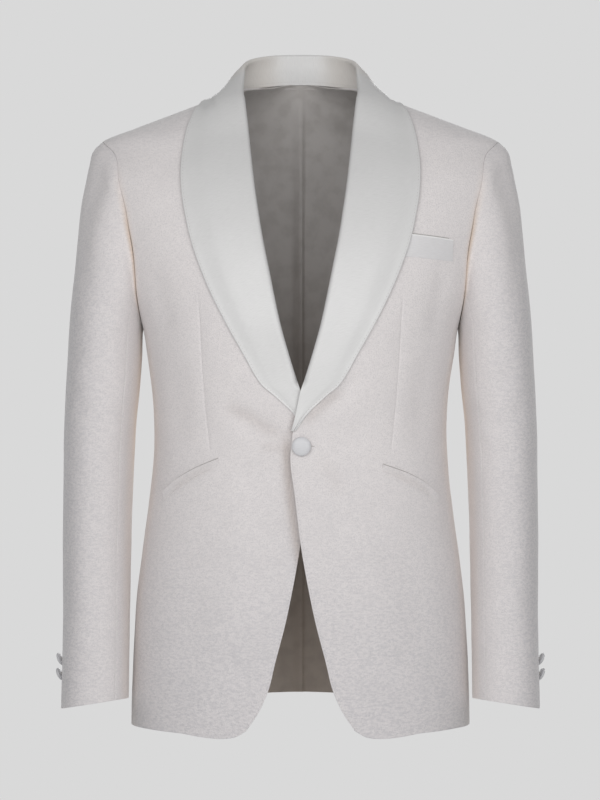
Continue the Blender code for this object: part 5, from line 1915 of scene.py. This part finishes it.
@dataclass(frozen=True)
class LiningCloth:
    """Taupe lining: a thin smooth twill, with painted light: lighter and more neutral towards the neck,
    darker and warmer towards the hem.
    """

    name: str = "taupe_lining_twill"
    light: Colour = (0.525, 0.475, 0.430, 1)
    dark: Colour = (0.405, 0.362, 0.322, 1)
    # Painted light by height: painted shade low down and painted light near the neck.
    at_hem: Colour = (0.870, 0.820, 0.780, 1)  # what its colour is multiplied by, low down
    at_neck: Colour = (1.090, 1.155, 1.240, 1)
    heights: Pair = (-0.66, -0.02)

    def make(self) -> Any:
        """Builds the material."""
        material, graph, shader = wired(self.name)
        cloth = graph.add("ShaderNodeUVMap", uv_map="cloth").outputs[0]
        place = graph.place()
        height = graph.add("ShaderNodeSeparateXYZ", {"Vector": place}).outputs["Z"]
        # Painted light and shade by height.
        tone = blended(graph, spread(graph, height, *self.heights), self.at_hem, self.at_neck)
        ribs = {"Vector": cloth, "Scale": 420.0, "Distortion": 0.6}
        twill = graph.add("ShaderNodeTexWave", ribs, bands_direction="DIAGONAL").outputs["Fac"]
        slow = spread(graph, grain(graph, place, 60, 3), 0.4, 0.7, 0.5)
        share = combined(graph, "ADD", combined(graph, "MULTIPLY", twill, 0.5), slow)
        colour = multiplied(graph, blended(graph, share, self.light, self.dark), tone)
        finished(graph, shader, colour, twill, 0.2, 0.0002)
        shader.inputs["Roughness"].default_value = 0.42
        shader.inputs["Sheen Weight"].default_value = 0.08
        return material


@dataclass(frozen=True)
class Thread:
    """Twisted sewing thread."""

    name: str = "sewing_thread"
    light: Colour = (0.560, 0.540, 0.520, 1)
    dark: Colour = (0.420, 0.405, 0.395, 1)

    def make(self) -> Any:
        """Builds the material."""
        material, graph, shader = wired(self.name)
        twist = grain(graph, graph.place(), 3200, 1)
        colour = blended(graph, spread(graph, twist, 0.4, 0.6), self.light, self.dark)
        finished(graph, shader, colour, twist, 0.3, 0.0001)
        shader.inputs["Roughness"].default_value = 0.6
        return material


@dataclass(frozen=True)
class NapShade:
    """Painted light and shade on the cloth and satin: a share of painted shade from 0 to 1 at each point of
    the cloth, and a tint of painted shade, glow and highlight.
    """

    # Painted shade on the sleeve, darkest along its outermost line, by the distance in from it.
    sleeve_ways: Many = (0.000, 0.010, 0.025, 0.045, 0.060, 0.075)
    sleeve_shares: Many = (0.66, 0.60, 0.42, 0.30, 0.14, 0.00)
    sleeve_drops: Pair = (0.12, 0.28)  # from part of the share to all of it
    sleeve_least: float = 0.45
    # Painted shade at the sides of the fronts and on the shoulders, and darker towards the hem.
    side_front: Four = (0.112, 0.140, 0.160, 0.185)
    side_fall: float = 0.4
    side_drops: Four = (0.220, 0.280, 0.430, 0.520)
    side_share: float = 0.06
    shoulder: Pair = (0.050, 0.004)
    shoulder_slope: float = 0.22
    shoulder_share: float = 0.20
    hem: Pair = (0.340, 0.700)
    hem_share: float = 0.50
    # Painted highlight along the breast welt's top edge, painted light down the satin leaf, and painted
    # warm shade round the neck.
    lip_width: float = 0.0016
    leaf_drops: Many = (-0.060, -0.020, 0.060, 0.160, 0.250, 0.330, 0.380)
    leaf_painted_light: Many = (0.99, 0.93, 0.86, 0.90, 0.94, 0.98, 1.00)
    neck_cream: Tone = (1.00, 0.965, 0.925)
    neck_across: Pair = (0.012, 0.045)
    neck_back: Pair = (0.0, 0.03)
    # Painted glow and painted shade on the sleeve, by the distance out from its innermost line, and by
    # drop.
    inner_glow: Pair = (0.001, 0.009)
    glow_drops: Pair = (0.25, 0.33)
    arm_shade: Pair = (0.004, 0.016)
    arm_back: Pair = (-0.035, -0.010)
    arm_drops: Four = (0.22, 0.30, 0.38, 0.48)
    # Painted glow on the body's flanks, by the share of its half width, and by drop.
    flank_glow: Pair = (0.94, 0.99)
    flank_drops: Pair = (0.24, 0.32)
    flank_share: float = 0.8
    # Painted shade in the creases and beside the lap, painted warm glow, painted shade in the armhole seam
    # and painted shade under the arm: colours that the cloth's own is multiplied by.
    hollow: Tone = (0.72, 0.68, 0.65)
    cream: Tone = (1.06, 1.01, 0.965)
    recess: Tone = (0.82, 0.72, 0.60)
    under_arm: Tone = (1.02, 0.91, 0.78)
    # The buttons' darker, bluer tone, and the welt's slightly darker, bluer tone and its painted highlight.
    button: Tone = (0.86, 0.865, 0.895)
    welt: Tone = (0.940, 0.930, 0.945)
    welt_lip_highlight: Tone = (1.15, 1.15, 1.15)

    def at(self, points: Array, sleeve: bool) -> Array:
        """The share of painted shade at these points.

        Args:
            points: Points of the cloth.
            sleeve: Whether they are on a sleeve.

        Returns:
            One number a point.
        """
        across, drop = np.abs(points[:, 0]), -points[:, 2]
        if sleeve:
            inside = SLEEVE.track.at(drop)[:, 0] - across
            high = self.sleeve_least + (1 - self.sleeve_least) * ease(*self.sleeve_drops, drop)
            return np.interp(inside, self.sleeve_ways, self.sleeve_shares) * high
        fall = 1 - self.side_fall * ease(*self.side_front[2:], across)
        side = ease(*self.side_front[:2], across) * fall * hump(self.side_drops, drop)
        slope = ease(*self.shoulder, drop - self.shoulder_slope * across)
        low_down = self.hem_share * ease(*self.hem, drop)
        return self.side_share * side + self.shoulder_share * slope + low_down

    def satin_tint(self, points: Array, name: str) -> Array:
        """The satin's tint: painted light down the leaf and painted warm shade round the neck; on the
        buttons a darker, bluer tone, and on the welt a slightly darker, bluer tone with a painted highlight
        along its top edge.
        """
        if name.startswith("button"):
            return np.ones_like(points) * self.button
        if name.startswith("welt"):
            across, drop, _ = np.array(BREAST_WELT).T
            below = -points[:, 2] - np.interp(points[:, 0], across, drop)
            return np.where(below[:, None] < self.lip_width, self.welt_lip_highlight, self.welt)
        light = np.interp(-points[:, 2], self.leaf_drops, self.leaf_painted_light)
        cream = ease(*self.neck_across, np.abs(points[:, 0])) * ease(*self.neck_back, points[:, 1])
        return light[:, None] * (1 - cream[:, None] * (1 - np.array(self.neck_cream)))

    def cloth_tint(self, points: Array, name: str) -> Array:
        """The cloth's tint: painted shade in the creases by the button, beside the lap, under the pockets
        and low by the side seams, painted shade in the armhole seam and under the arm, and painted warm
        glow beside the armhole, on the sleeves' inner sides and on the flanks.

        Args:
            points: Points of the cloth.
            name: The piece's name.

        Returns:
            A colour a point, which the cloth's own is multiplied by.
        """
        drop = -points[:, 2]
        left = points * np.where(points[:, :1] < 0, MIRROR, 1.0)
        layers = []
        if name.startswith(("front", "welt_hip")):
            laid = BODY.on_front(points[:, 0], drop)
            marks = PAINTED_SHADE_MARKS + (PAINTED_LAP_SHADOW if "right" in name else [])
            layers.append((CreaseField(marks, crease_on_body).depth_at(laid)[:, 0], self.hollow))
        for marks, colour in ((ARMHOLE_GLOW, self.cream), (PAINTED_ARMHOLE_SHADE, self.recess)):
            round_arm = CreaseField(marks, lambda _, numbers: ARMHOLE.point(np.radians(numbers[:, 0])))
            layers.append((round_arm.depth_at(left)[:, 0], colour))
        if name.startswith("sleeve"):
            inner = left[:, 0] - SLEEVE.track.at(drop)[:, 1]
            glow = (1 - ease(*self.inner_glow, inner)) * ease(*self.glow_drops, drop)
            shaded = (1 - ease(*self.arm_shade, inner)) * ease(*self.arm_back, points[:, 1])
            layers += [(glow, self.cream), (shaded * hump(self.arm_drops, drop), self.under_arm)]
        else:
            side = left[:, 0] / BODY.track.at(drop)[:, 0]
            glow = ease(*self.flank_glow, side) * ease(*self.flank_drops, drop)
            layers.append((self.flank_share * glow, self.cream))
        tint_with_painted_light = np.ones_like(points)
        for share, colour in layers:
            tint_with_painted_light *= 1 - np.clip(share, 0, 1)[:, None] * (1 - np.array(colour))
        return tint_with_painted_light

    def lay(self, piece: Any) -> None:
        """Writes the shares of painted shade and the tint of painted light into a piece."""
        mesh, name = piece.data, piece.name
        flat = np.empty(len(mesh.vertices) * 3)
        mesh.vertices.foreach_get("co", flat)
        points = flat.reshape(-1, 3)
        values = self.at(points, name.startswith("sleeve")).astype(np.float32)
        mesh.attributes.new("nap_shade", "FLOAT", "POINT").data.foreach_set("value", values)
        satin = name.startswith(("shawl", "welt_breast", "button"))
        tint_with_painted_light = self.satin_tint(points, name) if satin else self.cloth_tint(points, name)
        colours = np.column_stack([tint_with_painted_light, np.ones(len(tint_with_painted_light))]).astype(np.float32)
        mesh.attributes.new("tint_with_painted_light", "FLOAT_COLOR", "POINT").data.foreach_set("color", colours.ravel())


PAINTED_LIGHT = NapShade()


# The studio


@dataclass(frozen=True)
class Studio:
    """The floor, the soft lights and the camera."""

    air: float = 0.694  # what the camera sees round the jacket
    front_air: float = 0.44
    side_air: float = 0.29
    floor_radius: float = 2.8
    floor_drop: float = 1.25
    floor_tones: tuple[Colour, Colour] = ((0.66, 0.66, 0.66, 1), (0.70, 0.70, 0.70, 1))
    # Each light's X, Y, Z, size and power, and where they all aim.
    key: Many = (-0.5, -1.9, 0.0, 1.1, 11.0)
    fill: Many = (0.6, -1.9, -0.15, 1.0, 9.6)
    back: Many = (0.4, 2.6, -0.1, 2.0, 26.0)
    aim: Tone = (0.0, 0.0, -0.35)
    eye: Tone = (-0.0006, -3.2, -0.351)
    lens: float = 126.3

    def build(self) -> None:
        """Puts the jacket in the studio."""
        scene = bpy.context.scene
        scene.view_settings.view_transform = "Standard"
        world = bpy.data.worlds.new("pale_air")
        world.use_nodes = True
        self._air(world)
        scene.world = world
        self._floor()
        self._light("key_light", self.key)
        self._light("fill_light", self.fill)
        self._light("back_light", self.back)
        camera = linked("camera", bpy.data.cameras.new("camera"))
        camera.location = self.eye
        camera.rotation_euler = (math.pi / 2, 0, 0)
        camera.data.lens = self.lens
        camera.data.clip_end = 50
        scene.camera = camera

    def _air(self, world: Any) -> None:
        """Makes the air: even to look at, and as a light dimmer from the left and the right."""
        graph = NodeGraph(world.node_tree)
        way = graph.add("ShaderNodeTexCoord").outputs["Generated"]
        across = graph.add("ShaderNodeSeparateXYZ", {0: way}).outputs["X"]
        sideways = graph.add("ShaderNodeMath", {0: across}, operation="ABSOLUTE").outputs[0]
        share = spread(graph, sideways, 0.25, 0.95)
        front, side, air = ((grey,) * 3 + (1,) for grey in (self.front_air, self.side_air, self.air))
        seen = graph.add("ShaderNodeLightPath").outputs["Is Camera Ray"]
        colour = blended(graph, seen, blended(graph, share, front, side), air)
        world.node_tree.links.new(colour, world.node_tree.nodes["Background"].inputs["Color"])

    def _floor(self) -> None:
        """Makes the round floor under the hanging jacket."""
        mesh = bpy.data.meshes.new("floor")
        shape = bmesh.new()
        bmesh.ops.create_circle(shape, cap_ends=True, radius=self.floor_radius, segments=96)
        bmesh.ops.translate(shape, verts=shape.verts, vec=(0, 0, -self.floor_drop))
        shape.to_mesh(mesh)
        shape.free()
        material, graph, shader = wired("pale_floor")
        tone = spread(graph, grain(graph, graph.place(), 5, 3), 0.3, 0.7)
        colour = blended(graph, tone, *self.floor_tones)
        graph.tree.links.new(colour, shader.inputs["Base Color"])
        shader.inputs["Roughness"].default_value = 0.8
        mesh.materials.append(material)
        linked("floor", mesh)

    def _light(self, name: str, row: Many) -> None:
        """Adds a soft light that looks at the jacket's middle."""
        data = bpy.data.lights.new(name, "AREA")
        data.size, data.energy = row[3:]
        light = linked(name, data)
        light.location = row[:3]
        light.visible_camera = False
        away = light.location - type(light.location)(self.aim)
        light.rotation_euler = away.to_track_quat("Z", "Y").to_euler()


def main() -> None:
    """Makes the jacket's pieces in order, sews them and sets up the studio."""
    logging.basicConfig(level=logging.INFO, format="%(name)s: %(message)s")
    finishes = {
        "cloth": NappedCloth().make(),
        "satin": Satin().make(),
        "lining": LiningCloth().make(),
        "thread": Thread().make(),
    }
    fronts, back = FrontPanel(), BackPanel()
    jacket = Jacket(
        finishes,
        CreaseField(BODY_CREASES, crease_on_body),
        CreaseField(SLEEVE_CREASES, lambda _, numbers: SLEEVE.crease_place(numbers)),
    )
    for side in Side:
        fronts.build(jacket, side)
        back.build(jacket, side)
        SidePanel().build(jacket, side)
        SLEEVE.build(jacket, side)
        name = f"welt_hip_{side.word}"
        hip = Welt(f"{name}_cloth", name, HIP_WELTS[side], Slot.CLOTH, "cloth", 0.0006)
        hip.build(jacket, side)
        jacket.mouths.append(hip.mouth(jacket, side))
        for button in BUTTONS.cuff(side):
            button.build(jacket)
    back.build_lining(jacket)
    collar = ShawlCollar()
    collar.build(jacket)
    breast = Welt("welt_breast_satin", "welt_breast", BREAST_WELT, Slot.SATIN, "satin", 0.0002)
    breast.build(jacket, Side.LEFT)
    jacket.mouths.append(breast.mouth(jacket, Side.LEFT))
    BUTTONS.front().build(jacket)
    PICK.sew(jacket, jacket.picked)
    BAND.sew(jacket, jacket.banded)
    HOLE.sew(jacket, jacket.bound)
    MOUTH.sew(jacket, jacket.mouths)
    Studio().build()


if __name__ == "__main__":
    main()
